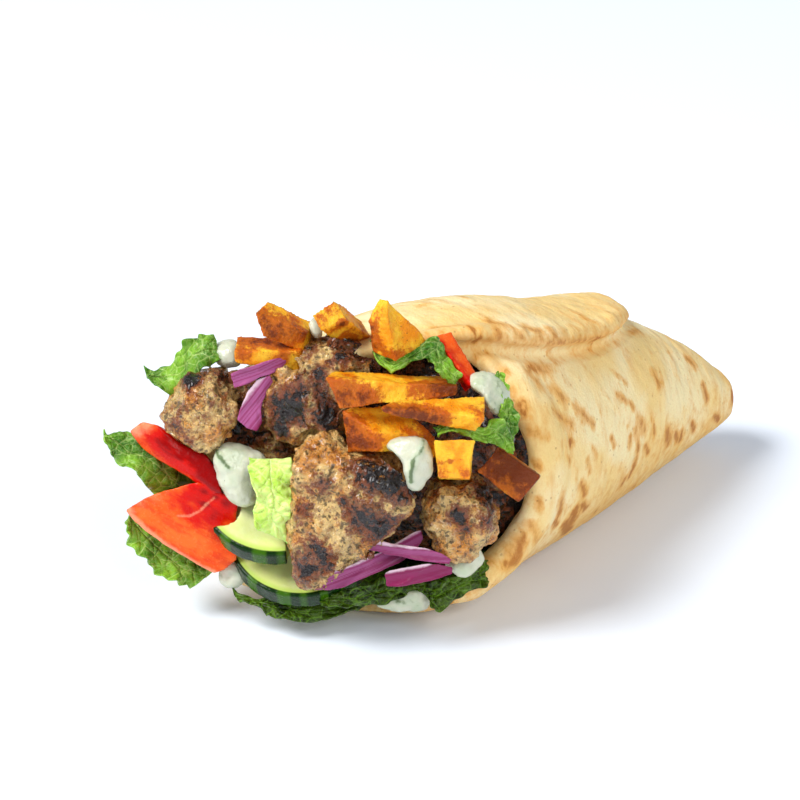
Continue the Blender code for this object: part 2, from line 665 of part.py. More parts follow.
def add_leaves(food, mouth):
    """Lettuce round the edge of the filling."""
    def place(name, spine, width, facing, ruffle, waves, **more):
        return leaf(name, food, mouth, spine, width, facing, ruffle, waves, **more)

    return [
        place("leaf_left_point", ((-62, 53, 10), (-55, 48, 13), (-46, 42, 10), (-34, 36, 4)),
              13.0, (0.1, 0.5, 1.0), 1.4, 2.0, blunt=0.9),
        place("leaf_left_ruffle", ((-58, 29, 9), (-54, 22, 12), (-49, 16, 12), (-42, 12, 9)),
              11.0, (-0.6, 0.1, 1.0), 1.8, 3.5),
        place("leaf_top_left", ((-37, 79, 4), (-40, 74, 6), (-45, 70, 5), (-51, 66, 2)),
              8.5, (0.1, 0.2, 1.0), 1.2, 2.0),
        place("leaf_pale", ((-16, 56, 20), (-19, 49, 24), (-18, 39, 25), (-16, 29, 22)),
              10.5, (-0.2, 0.1, 1.0), 1.4, 2.0, finish=PALE_LETTUCE, blunt=0.3),
        place("leaf_under", ((-32, 8, 8), (-22, 3, 10), (-8, 2, 9), (5, 7, 6)),
              10.0, (0.0, 0.9, 0.4), 1.2, 3.0),
        place("leaf_front", ((-9, 12, 17), (1, 13, 20), (10, 16, 20), (19, 21, 15)),
              8.5, (0.0, 0.75, 0.6), 1.0, 2.0),
        place("leaf_low_right", ((17, 11, 11), (24, 13.5, 14), (30, 18, 12), (36, 24.5, 7)),
              9.0, (0.25, 0.35, 1.0), 1.2, 1.5),
        place("leaf_top", ((3, 79, 8), (10, 75, 12), (18, 79, 12), (27, 74, 8)),
              8.5, (0.1, -0.1, 1.0), 1.4, 2.0),
        place("leaf_right", ((35, 75, 4), (41.5, 67, 9), (40.5, 58, 16), (24, 60, 22.5)),
              9.0, (0.1, 0.2, 1.0), 1.4, 2.5),
    ]


def corners(piece):
    points = [piece.matrix_world @ Vector(corner) for corner in piece.bound_box]
    low = Vector([min(point[axis] for point in points) for axis in range(3)])
    high = Vector([max(point[axis] for point in points) for axis in range(3)])
    return low, high


def near_each_other(first, second):
    low_a, high_a = corners(first)
    low_b, high_b = corners(second)
    reach = GAP * MM
    return all(low_a[axis] <= high_b[axis] + reach and low_b[axis] <= high_a[axis] + reach
               for axis in range(3))


def grown_copy(piece, cutters):
    """A cutter one gap larger than a piece."""
    cutter = piece.copy()
    cutter.modifiers.clear()
    cutter.data = piece.data.copy()
    cutter.name = "cutter_" + piece.name
    cutters.objects.link(cutter)
    bm = bmesh.new()
    bm.from_mesh(cutter.data)
    bmesh.ops.triangulate(bm, faces=bm.faces)
    bm.normal_update()
    for vertex in bm.verts:
        vertex.co += vertex.normal * GAP * MM * min(vertex.calc_shell_factor(), 1.4)
    bm.to_mesh(cutter.data)
    bm.free()
    cutter.hide_render = True
    cutter.display_type = "WIRE"
    return cutter


def largest_body(piece):
    """Keep the largest of the bodies that cutting left."""
    bm = bmesh.new()
    bm.from_mesh(piece.data)
    bmesh.ops.remove_doubles(bm, verts=bm.verts, dist=0.00001)
    bmesh.ops.dissolve_degenerate(bm, dist=0.00001, edges=bm.edges)
    left = set(bm.verts)
    bodies = []
    while left:
        queue = [left.pop()]
        body = set(queue)
        while queue:
            for edge in queue.pop().link_edges:
                for vertex in edge.verts:
                    if vertex in left:
                        left.discard(vertex)
                        body.add(vertex)
                        queue.append(vertex)
        bodies.append(body)
    bodies.sort(key=len)
    loose = [vertex for body in bodies[:-1] for vertex in body]
    bmesh.ops.delete(bm, geom=loose, context="VERTS")
    bmesh.ops.triangulate(bm, faces=bm.faces)
    bm.to_mesh(piece.data)
    bm.free()


def fit_together(ranked, grown, cutters):
    """Cut each piece clear of the bread and of all pieces that come before it."""
    bpy.context.view_layer.update()
    first = len(grown)
    grown = grown + [grown_copy(piece, cutters) for piece in ranked]
    bpy.context.view_layer.update()
    for index, piece in enumerate(ranked):
        finish = piece.data.materials[0]
        for cutter in grown[:first + index]:
            if not near_each_other(piece, cutter):
                continue
            cut = piece.modifiers.new(cutter.name, "BOOLEAN")
            cut.operation = "DIFFERENCE"
            cut.object = cutter
            cut.solver = "EXACT"
        apply_modifiers(piece)
        piece.data.materials.clear()
        piece.data.materials.append(finish)
        largest_body(piece)


def centre_on_table(pieces, origin):
    """Move the whole so that its box stands centred on the origin."""
    bpy.context.view_layer.update()
    points = [piece.matrix_world @ vertex.co for piece in pieces
              for vertex in piece.data.vertices]
    low = [min(point[axis] for point in points) for axis in range(3)]
    high = [max(point[axis] for point in points) for axis in range(3)]
    origin.location = (-(low[0] + high[0]) / 2.0, -(low[1] + high[1]) / 2.0, -low[2])
    bpy.context.view_layer.update()


def main():
    food, cutters = start_scene()
    origin = bpy.data.objects.new("sandwich_origin", None)
    mouth = bpy.data.objects.new("mouth", None)
    for empty in (origin, mouth):
        food.objects.link(empty)
    mouth.parent = origin
    mouth.matrix_basis = mouth_frame()
    pita, bread_cutters = join_bread(food, cutters)
    lining = [lettuce_bed(food), fill_core(food)]
    for piece in [pita] + bread_cutters + lining:
        piece.parent = origin
    chicken = add_chicken(food, mouth)
    fries = add_fries(food, mouth)
    onions = add_onions(food, mouth)
    tomatoes = add_tomatoes(food, mouth)
    cucumbers = add_cucumbers(food, mouth)
    sauces = add_sauces(food, mouth)
    leaves = add_leaves(food, mouth)
    ranked = lining + [fries[5], fries[7], fries[4]] + fries[:4] + onions + cucumbers[1:]
    ranked += [sauces[2], chicken[0], fries[6], fries[8]] + chicken[1:4] + tomatoes
    ranked += cucumbers[:1] + chicken[4:] + sauces[:2] + sauces[3:] + leaves
    fit_together(ranked, bread_cutters, cutters)
    largest_body(pita)
    centre_on_table([pita] + ranked, origin)


main()
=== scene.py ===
"""Looks of the pita sandwich: baked bread, grilled chicken, fries, salad and sauce.

Bread, chicken, cucumber and the bed of lettuce are worked up from their solids in the
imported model. Fries, onion strips, tomato, sauce and leaves are cut or grown in the
frame of the mouth, at their solids' places. Lengths are millimetres unless a name or
a unit says otherwise.
"""

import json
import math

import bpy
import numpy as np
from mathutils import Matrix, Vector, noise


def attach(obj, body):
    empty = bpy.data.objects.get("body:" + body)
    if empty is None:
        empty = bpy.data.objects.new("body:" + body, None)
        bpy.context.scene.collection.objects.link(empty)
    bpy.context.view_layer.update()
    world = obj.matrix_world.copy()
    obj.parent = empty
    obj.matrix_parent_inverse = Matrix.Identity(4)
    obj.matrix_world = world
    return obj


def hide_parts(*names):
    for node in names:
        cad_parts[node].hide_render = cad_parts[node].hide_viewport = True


bl_info = {
    "name": "Pita sandwich",
    "version": (1, 0, 0),
    "blender": (4, 5, 0),
    "location": "View3D > Sidebar > Pita",
    "description": "Dresses the pita sandwich's solids as food and sets its stage",
    "category": "Object",
}

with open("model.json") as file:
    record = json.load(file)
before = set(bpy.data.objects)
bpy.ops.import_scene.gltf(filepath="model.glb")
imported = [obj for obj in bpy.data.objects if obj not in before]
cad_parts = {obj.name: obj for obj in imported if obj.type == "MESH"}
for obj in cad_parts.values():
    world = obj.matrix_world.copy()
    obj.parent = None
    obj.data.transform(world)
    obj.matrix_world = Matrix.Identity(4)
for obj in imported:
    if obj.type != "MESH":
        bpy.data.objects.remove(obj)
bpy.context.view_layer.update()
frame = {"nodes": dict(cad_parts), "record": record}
SLOTS = {part["node"]: part["material_slot"] for part in frame["record"]["subparts"]}

MM = 0.001
NOISE_SEED = 1
noise.seed_set(NOISE_SEED)

# The slanted mouth: its middle on the table, and its right, up and out directions
MOUTH_ORIGIN = Vector((-48.87, 3.66, 0.0))
MOUTH_SLANT = 0.88
MOUTH_RIGHT = Vector((MOUTH_SLANT, -1.0, 0.0)).normalized()
MOUTH_UP = Vector((0.0, 0.0, 1.0))
MOUTH_OUT = Vector((-1.0, -MOUTH_SLANT, 0.0)).normalized()

# Toasted marks on the bread: both ends and the half width
TOAST_MARKS = (
    (-15.2, -11.1, 79, -17.2, -18.1, 77, 1.6), (-13.2, -13.1, 78, -8.2, -19.1, 74, 1.3),
    (-6.2, -15.1, 76, -1.2, -16.1, 74, 1.1), (2.8, -15.1, 73, 3.8, -17.1, 71, 1.1),
    (-4.2, -18.1, 73, -0.2, -18.1, 71, 1.1), (24.8, -7.1, 67, 26.8, -9.1, 66, 0.9),
    (14.8, -12.1, 69, 15.8, -13.1, 68, 0.7), (-16.2, -20.1, 74, 14.8, -16.1, 63, 0.7),
    (-4.2, -19.1, 72, 30.8, -12.1, 61, 1.1), (-32.2, -8.1, 81, -27.2, -12.1, 81, 0.8),
    (-25.2, 4.9, 82, -21.2, 3.9, 82, 0.8), (-23.2, -20.1, 74, -19.2, -21.1, 70, 1.3),
    (-9.2, -20.1, 67, -0.2, -20.1, 64, 1.6), (-11.2, -21.1, 67, -8.2, -24.1, 63, 1.2),
    (41.8, -8.1, 60, 55.8, -1.1, 53, 1.1), (28.8, -16.1, 54, 32.8, -17.1, 49, 0.7),
    (48.8, -13.1, 46, 49.8, -15.1, 42, 1.1), (73.8, -5.1, 40, 75.8, -6.1, 38, 1.1),
    (76.8, -9.1, 32, 77.8, -10.1, 27, 0.8), (94.8, -6.1, 22, 95.8, -6.1, 20, 0.7),
    (34.8, -21.1, 39, 37.8, -20.1, 34, 1.2), (32.8, -21.1, 36, 34.8, -21.1, 29, 0.9),
    (34.8, -21.1, 26, 33.8, -19.1, 20, 0.7), (30.8, -21.1, 21, 30.8, -20.1, 18, 0.7),
    (52.8, -16.1, 27, 54.8, -16.1, 23, 1.2), (58.8, -15.1, 24, 60.8, -14.1, 21, 0.7),
    (62.8, -14.1, 23, 62.8, -13.1, 20, 0.7), (68.8, -12.1, 23, 70.8, -12.1, 20, 0.7),
    (43.8, -19.1, 32, 44.8, -19.1, 30, 0.7), (39.8, -20.1, 28, 41.8, -19.1, 25, 0.7),
    (4.8, -25.1, 53, 10.8, -25.1, 46, 1.1), (-7.2, -27.1, 56, 0.8, -27.1, 50, 1.1),
    (-2.2, -23.1, 60, 0.8, -24.1, 56, 1.3), (-7.2, -30.1, 48, -7.2, -30.1, 47, 0.7),
    (-1.2, -29.1, 46, -0.2, -29.1, 45, 0.7), (-3.2, -30.1, 42, -3.2, -30.1, 41, 0.8),
    (6.8, -28.1, 38, 7.8, -28.1, 34, 0.7), (9.8, -27.1, 40, 11.8, -27.1, 37, 0.7),
    (-7.2, -31.1, 33, -5.2, -30.1, 27, 1.3), (3.8, -26.1, 23, 5.8, -24.1, 17, 1.3),
    (3.8, -28.1, 32, 6.8, -27.1, 27, 0.9), (7.8, -26.1, 23, 10.8, -24.1, 20, 0.8),
    (0.8, -26.1, 20, 7.8, -21.1, 12, 1.1), (-7.2, -29.1, 25, -5.2, -28.1, 22, 0.8),
    (-19.2, -32.1, 29, -16.2, -31.1, 23, 0.9), (-22.2, -32.1, 25, -24.2, -31.1, 20, 1.2),
    (-16.2, -32.1, 36, -16.2, -32.1, 33, 0.7), (-21.2, -32.1, 27, -22.2, -32.1, 25, 0.7),
    (-17.2, -29.1, 55, -13.2, -30.1, 52, 1.1), (-18.2, -26.1, 62, -18.2, -28.1, 59, 0.8),
    (-19.2, -24.1, 66, -19.2, -25.1, 64, 0.7), (26.8, -20.1, 48, 29.8, -20.1, 45, 0.8),
    (31.8, -20.1, 44, 32.8, -20.1, 42, 0.8), (82.8, -10.1, 20, 86.8, -8.1, 17, 0.7),
    (-16.2, -30.1, 46, -16.2, -32.1, 44, 0.7), (19.8, -24.1, 39, 20.8, -24.1, 36, 0.7),
    (29.8, -22.1, 35, 29.8, -22.1, 32, 0.7),
)

# The foot of the flap's free edge, from the mouth to the far side
FLAP_FOOT = (
    (-63.7, 11.9, 73.2), (-55.9, 0.8, 74.8), (-53.9, -5.7, 74.5), (-49.3, -11.4, 73.9),
    (-42.2, -16.1, 73.5), (-33.0, -19.4, 72.6), (-22.0, -20.8, 70.7), (-9.8, -20.2, 68.0),
    (3.1, -18.4, 64.6), (20.2, -15.1, 59.5), (30.5, -12.5, 57.3), (38.2, -9.9, 56.3),
    (44.3, -7.2, 56.0), (48.8, -4.2, 55.8), (51.9, -0.9, 55.9), (53.6, 3.3, 56.3),
    (53.5, 13.1, 57.0), (51.8, 24.9, 54.1), (50.2, 33.6, 46.2),
)
# How far that foot is slid at each place, which way, and how far beside it the slide fades
FLAP_SLIDES = (0, 0, 2, 4, 6, 7.5, 7, 4, 2.6, 3, 3, 3, 2.6, 1.6, 0.8, 0, 0, 0, 0)
SLIDE_WAY = Vector((0.0, 0.8, 0.6))
SLIDE_REACH = 15.0
# From the flap's foot to the ledge over it, and the stretch where the edge is free
FLAP_RISE = Vector((0.0, -0.4, 2.6))
FREE_EDGE = slice(4, 16)
# Reach and strength of the groove, the ledge and the rolled lip in the bread's surface
GROOVE = (1.5, -2.2)
LEDGE = (2.6, 1.3)
ROLLED_LIP = (4.0, 2.6)
# Reach and strength of the painted shade along the ledge, golden, and in the groove under it, dark
LEDGE_SHADE = (3.2, 0.72)
GROOVE_SHADE = (0.9, 1.0)
TOAST_SPREAD = 1.4
# A line inside the lip of the mouth
LIP_LINE = (
    (-14.9, -19.3, 63.4), (-12.1, -23.7, 56.2), (-10.3, -26.3, 47.7), (-9.9, -27.2, 37.9),
    (-14.5, -27.3, 28.4), (-22.7, -25.9, 20.3), (-30.9, -21.8, 13.3),
)

# Browned and charred patches: middle, reach and strength
BROWN_MARKS = {
    "chicken_front": (
        (-64.2, -23.1, 56, 3.9, 1), (-62.2, -26.1, 54, 3.5, 1), (-66.2, -22.1, 54, 2.1, 0.8),
        (-59.2, -28.1, 50, 2.5, 0.9), (-74.2, -14.1, 53, 1.7, 0.8), (-74.2, -14.1, 50, 1.2, 0.7),
        (-71.2, -18.1, 48, 1.2, 0.9), (-68.2, -22.1, 45, 3.1, 0.95), (-70.2, -20.1, 47, 1.7, 0.7),
        (-64.2, -25.1, 41, 3.3, 0.75), (-61.2, -26.1, 42, 2.5, 0.6), (-75.2, -12.1, 33, 2.5, 0.8),
        (-77.2, -10.1, 28, 3.1, 0.9), (-77.2, -5.1, 23, 2.1, 0.6), (-74.2, -14.1, 30, 2.1, 0.8),
        (-77.2, -10.1, 45, 1.9, 0.5), (-78.2, -9.1, 42, 1.7, 0.45), (-73.2, -16.1, 34, 2.1, 0.45),
        (-76.2, -11.1, 50, 1.7, 0.4),
    ),
    "chicken_right": (
        (-46.2, -33.1, 42, 1.5, 0.95), (-35.2, -33.1, 44, 2.9, 0.85),
        (-37.2, -36.1, 41, 2.5, 0.8), (-38.2, -32.1, 47, 1.9, 0.6), (-44.2, -36.1, 43, 1.2, 0.5),
        (-45.2, -35.1, 38, 0.9, 0.6), (-47.2, -25.1, 47, 1.7, 0.5), (-39.2, -37.1, 32, 1.5, 0.4),
    ),
    "chicken_middle": (
        (-71.2, 1.9, 67, 3.6, 1), (-69.2, -0.1, 71, 2, 0.9), (-66.2, -3.1, 76, 1.8, 0.8),
        (-65.2, 0.9, 83, 2, 0.7), (-65.2, -4.1, 66, 3, 0.95), (-72.2, 4.9, 61, 2, 0.8),
        (-69.2, -0.1, 64, 2.3, 0.7), (-70.2, 0.9, 59, 1.7, 0.4), (-66.2, -3.1, 75, 2.3, 0.8),
        (-65.2, -4.1, 65, 3, 1), (-64.2, -5.1, 62, 2.3, 0.9), (-66.2, -4.1, 70, 2.3, 0.9),
        (-65.2, 1.9, 83, 1.5, 0.7), (-61.2, -6.1, 81, 2.3, 0.75), (-57.2, -9.1, 79, 1.9, 0.6),
        (-61.2, -8.1, 78, 1.5, 0.5), (-69.2, -0.1, 74, 1.9, 0.6),
    ),
    "chicken_left": (
        (-84.2, 24.9, 72, 2, 0.95), (-80.2, 22.9, 73, 2.7, 0.6), (-77.2, 19.9, 72, 2.3, 0.6),
        (-92.2, 24.9, 62, 2.3, 0.5), (-90.2, 22.9, 66, 1.5, 0.5), (-84.2, 15.9, 69, 2.7, 0.35),
        (-82.2, 12.9, 66, 2.3, 0.35), (-87.2, 16.9, 64, 0.9, 0.6), (-89.2, 19.9, 58, 1.3, 0.4),
        (-79.2, 14.9, 69, 1.7, 0.4),
    ),
    "chicken_low_left": (
        (-73.2, 16.9, 55, 2.7, 0.7), (-69.2, 13.9, 57, 2.3, 0.8), (-68.2, 9.9, 52, 2, 0.6),
    ),
    "fry_top_left": (
        (-71.7, 11.1, 88.7, 3.2, 0.9), (-71, 10.5, 86.3, 3.5, 1), (-68.2, 8.5, 86.6, 3.5, 0.95),
        (-65.5, 7.2, 85, 3.2, 0.95), (-69.9, 9.6, 84.4, 3, 0.95), (-63.1, 5.9, 83.6, 2, 0.9),
        (-67.2, 8.2, 84.1, 3, 0.9),
    ),
    "fry_left": (
        (-74.4, 15.7, 81.3, 3, 0.85), (-71.6, 14.4, 81.2, 3.2, 0.95), (-68.9, 12.6, 81, 3.2, 1),
        (-66.3, 11.1, 80.4, 3.2, 0.95), (-64.4, 9.1, 80, 3, 0.9), (-77.2, 12.8, 81.4, 2.4, 0.6),
        (-68.3, 6.7, 78.9, 2, 0.7),
    ),
    "fry_top_middle": (
        (-58.1, -3.6, 87.8, 1.3, 1.2), (-60.3, -1.4, 91.8, 2.2, 0.55), (-62.7, -0.8, 90.1, 2, 0.5),
        (-52.6, -0.6, 81.6, 2.4, 0.7), (-50.4, -1.9, 82.7, 2, 0.6), (-59.1, -2.1, 86.3, 1.8, 0.5),
        (-48.6, -0.9, 80.5, 1.6, 0.8), (-55, -1.1, 83.5, 2, 0.7),
    ),
    "fry_top_right": (
        (-55.7, -11.4, 88.6, 1.6, 1), (-55.2, -10.7, 85.6, 1.7, 1), (-54, -10.8, 83.1, 1.6, 0.9),
        (-55.5, -12.7, 90.8, 1.2, 0.6), (-51.6, -15.6, 81.8, 1.8, 0.7),
        (-49.7, -16, 80.8, 1.5, 0.6), (-52.6, -13, 81.8, 1.6, 0.6), (-54.4, -11.8, 92.6, 1.4, 0.4),
        (-47.2, -16.1, 82, 1.4, 0.5),
    ),
    "fry_long": (
        (-68, -10.5, 77, 2.5, 0.6), (-66.6, -12.3, 74.3, 3.5, 0.9),
        (-63.9, -13.5, 74.7, 3.5, 0.85), (-61.9, -14.9, 72.9, 3.2, 0.95),
        (-59.8, -16.2, 71.9, 2.4, 0.8), (-65.6, -13.2, 72.1, 2.6, 1),
        # The strong marks at this right end are browning, and partly painted shade where the fry
        # lies in shadow
        (-60.5, -14.9, 75.7, 2.2, 0.5), (-48.1, -21.5, 74.1, 2.6, 0.8), (-45.3, -22.9, 73.7, 3, 1),
        (-43, -24.4, 73.3, 3, 1.2), (-41.3, -25.5, 72.6, 2.8, 1.2), (-50.2, -21, 73, 1.8, 0.6),
        (-67.4, -9.5, 78.1, 1.5, 0.5),
    ),
    "fry_pointed": (
        (-61.9, -24.5, 73.3, 2, 1), (-60, -26, 72.4, 2.4, 1.1), (-57.6, -27.7, 71.7, 2.6, 1.2),
        (-55.2, -29.3, 70.7, 2.6, 1.2), (-52.8, -30.7, 69.7, 2.4, 1.1), (-51, -31.9, 69.3, 2, 0.9),
        (-42.7, -35.8, 70.4, 2, 0.5), (-39.4, -33.8, 70.8, 1.5, 0.4),
        (-57.2, -25.4, 73.2, 1.5, 0.5),
    ),
    "fry_stub": (
        (-64.5, -11.5, 66.6, 2.6, 0.9), (-64, -13.5, 64.4, 3, 1), (-63.1, -15.5, 61.5, 3.2, 1.1),
        (-64.1, -12.5, 61, 3, 1), (-62.3, -17.5, 61.5, 2.6, 1), (-62.4, -13.6, 67.2, 1.8, 0.6),
        (-47.2, -20.6, 62, 2.5, 0.7), (-46.7, -23.1, 60.8, 2.5, 0.9),
        (-51.4, -21.6, 62.4, 2.2, 0.7), (-57.3, -17.4, 65, 1.5, 0.3),
    ),
    "fry_square": (
        (-50.2, -34.1, 58.9, 0.8, 0.7), (-49.4, -34.2, 62.8, 0.5, 0.8),
        (-52.4, -32.1, 58.1, 1.4, 0.45), (-52, -32.8, 55.7, 1.6, 0.5),
        (-47.6, -37.3, 56, 1.5, 0.4), (-48.6, -35.1, 62.6, 0.4, 0.6),
    ),
    "fry_skin": (
        (-35.1, -31.6, 52.6, 4, 1.1), (-32.1, -32.8, 54, 4, 1.2), (-31.1, -35.8, 52, 4.5, 1.3),
        (-30.4, -38.7, 50, 4.5, 1.3), (-28.5, -40.7, 49.3, 4, 1.3), (-31.7, -40.1, 47.1, 3.5, 1.1),
        (-33.4, -34.6, 50.9, 4, 1.2), (-36, -32.6, 50.8, 3, 1), (-33.9, -37, 48.7, 3, 1),
    ),
}

# How far char spreads beyond its marks' reach, and the marks that brown a shaded piece all over as
# painted shade
CHAR_SPREAD = 1.5
CHAR_SPREADS = {"chicken_middle": 1.15, "chicken_front": 1.35}
SHADED_ALL_OVER = ((0.0, 0.0, 0.0, 400.0, 0.6),)
CHICKEN_NODES = ("chicken_filling", "chicken_front", "chicken_right", "chicken_left",
                 "chicken_middle", "chicken_low_left")

# Fries and a strip of tomato: the four corners of the front and of the back end, as
# lower front, upper front, upper back and lower back, in the mouth's frame
STICKS = {
    "fry_top_left": (((-20.7, 83.9, 13), (-22, 90.8, 13), (-20.4, 90.3, 5), (-19.1, 83.3, 5)),
        ((-11.2, 78.4, 9), (-10.1, 83.8, 9), (-9.6, 83.5, 1), (-10.7, 78.2, 1))),
    "fry_left": (((-27.1, 78.3, 17), (-26.8, 81.6, 17), (-27.6, 81.9, 9), (-27.7, 78.3, 9)),
        ((-11.7, 73.5, 11), (-11.1, 79.5, 11), (-11.4, 80.1, 3), (-11.5, 75.2, 3))),
    "fry_top_middle": (((-5.5, 86.7, 14), (-8.2, 90.8, 14), (-3.1, 93.8, 11), (0.4, 89.1, 12)),
        ((0, 77.7, 3), (-2.7, 81.9, 3), (2.6, 84.6, 1), (5.4, 79.8, 1))),
    "fry_top_right": (((11.2, 92.2, 17), (5.5, 90.3, 15), (8.4, 95.3, 12), (10.7, 95.5, 13)),
        ((13.1, 79.8, 15), (7.2, 81, 13), (13.6, 85, 2), (20.8, 82.2, 8))),
    "fry_long": (((-0.4, 71, 25), (-3.6, 78.7, 24), (-3, 77.7, 17), (0.4, 70.6, 17)),
        ((27.7, 70.7, 14), (28.3, 73.2, 13), (25.9, 72.4, 6), (26.6, 68.4, 5))),
    "fry_pointed": (((11.6, 72.5, 29), (10.9, 74.3, 29), (13.1, 73.6, 25), (13, 71.8, 24)),
        ((33.4, 65, 22), (35.8, 69.4, 23), (34.8, 71.6, 14), (33.5, 67, 12))),
    "fry_stub": (((1.5, 57.4, 22), (-0.3, 68.9, 21), (8.2, 65.5, 25), (8.9, 60.1, 25)),
        ((13.4, 58.2, 11), (12.4, 66.8, 11), (23, 60.4, 16), (23.5, 54.6, 16))),
    "fry_square": (((24.5, 53.8, 26), (23.2, 64.4, 26), (33.7, 65, 26), (32.4, 54, 26)),
        ((23, 42.8, 4), (22.1, 52.5, 4), (31.1, 53.3, 4), (30.2, 43.2, 4))),
    "fry_skin": (((33.3, 50.7, 15), (38.1, 56.1, 10), (49.5, 49.5, 14), (44.2, 43.9, 18)),
        ((33.8, 47.2, 8), (38.7, 52.4, 3), (49, 46.4, 7), (44, 41.3, 11))),
    "tomato_strip": (((21.5, 83.4, 8), (21.4, 85.1, 9), (25.4, 83.7, 4), (23.9, 81.5, 2)),
        ((29.4, 69.1, 8), (31.1, 72.5, 11), (32.4, 73.3, 6), (30.7, 68.3, 2))),
}
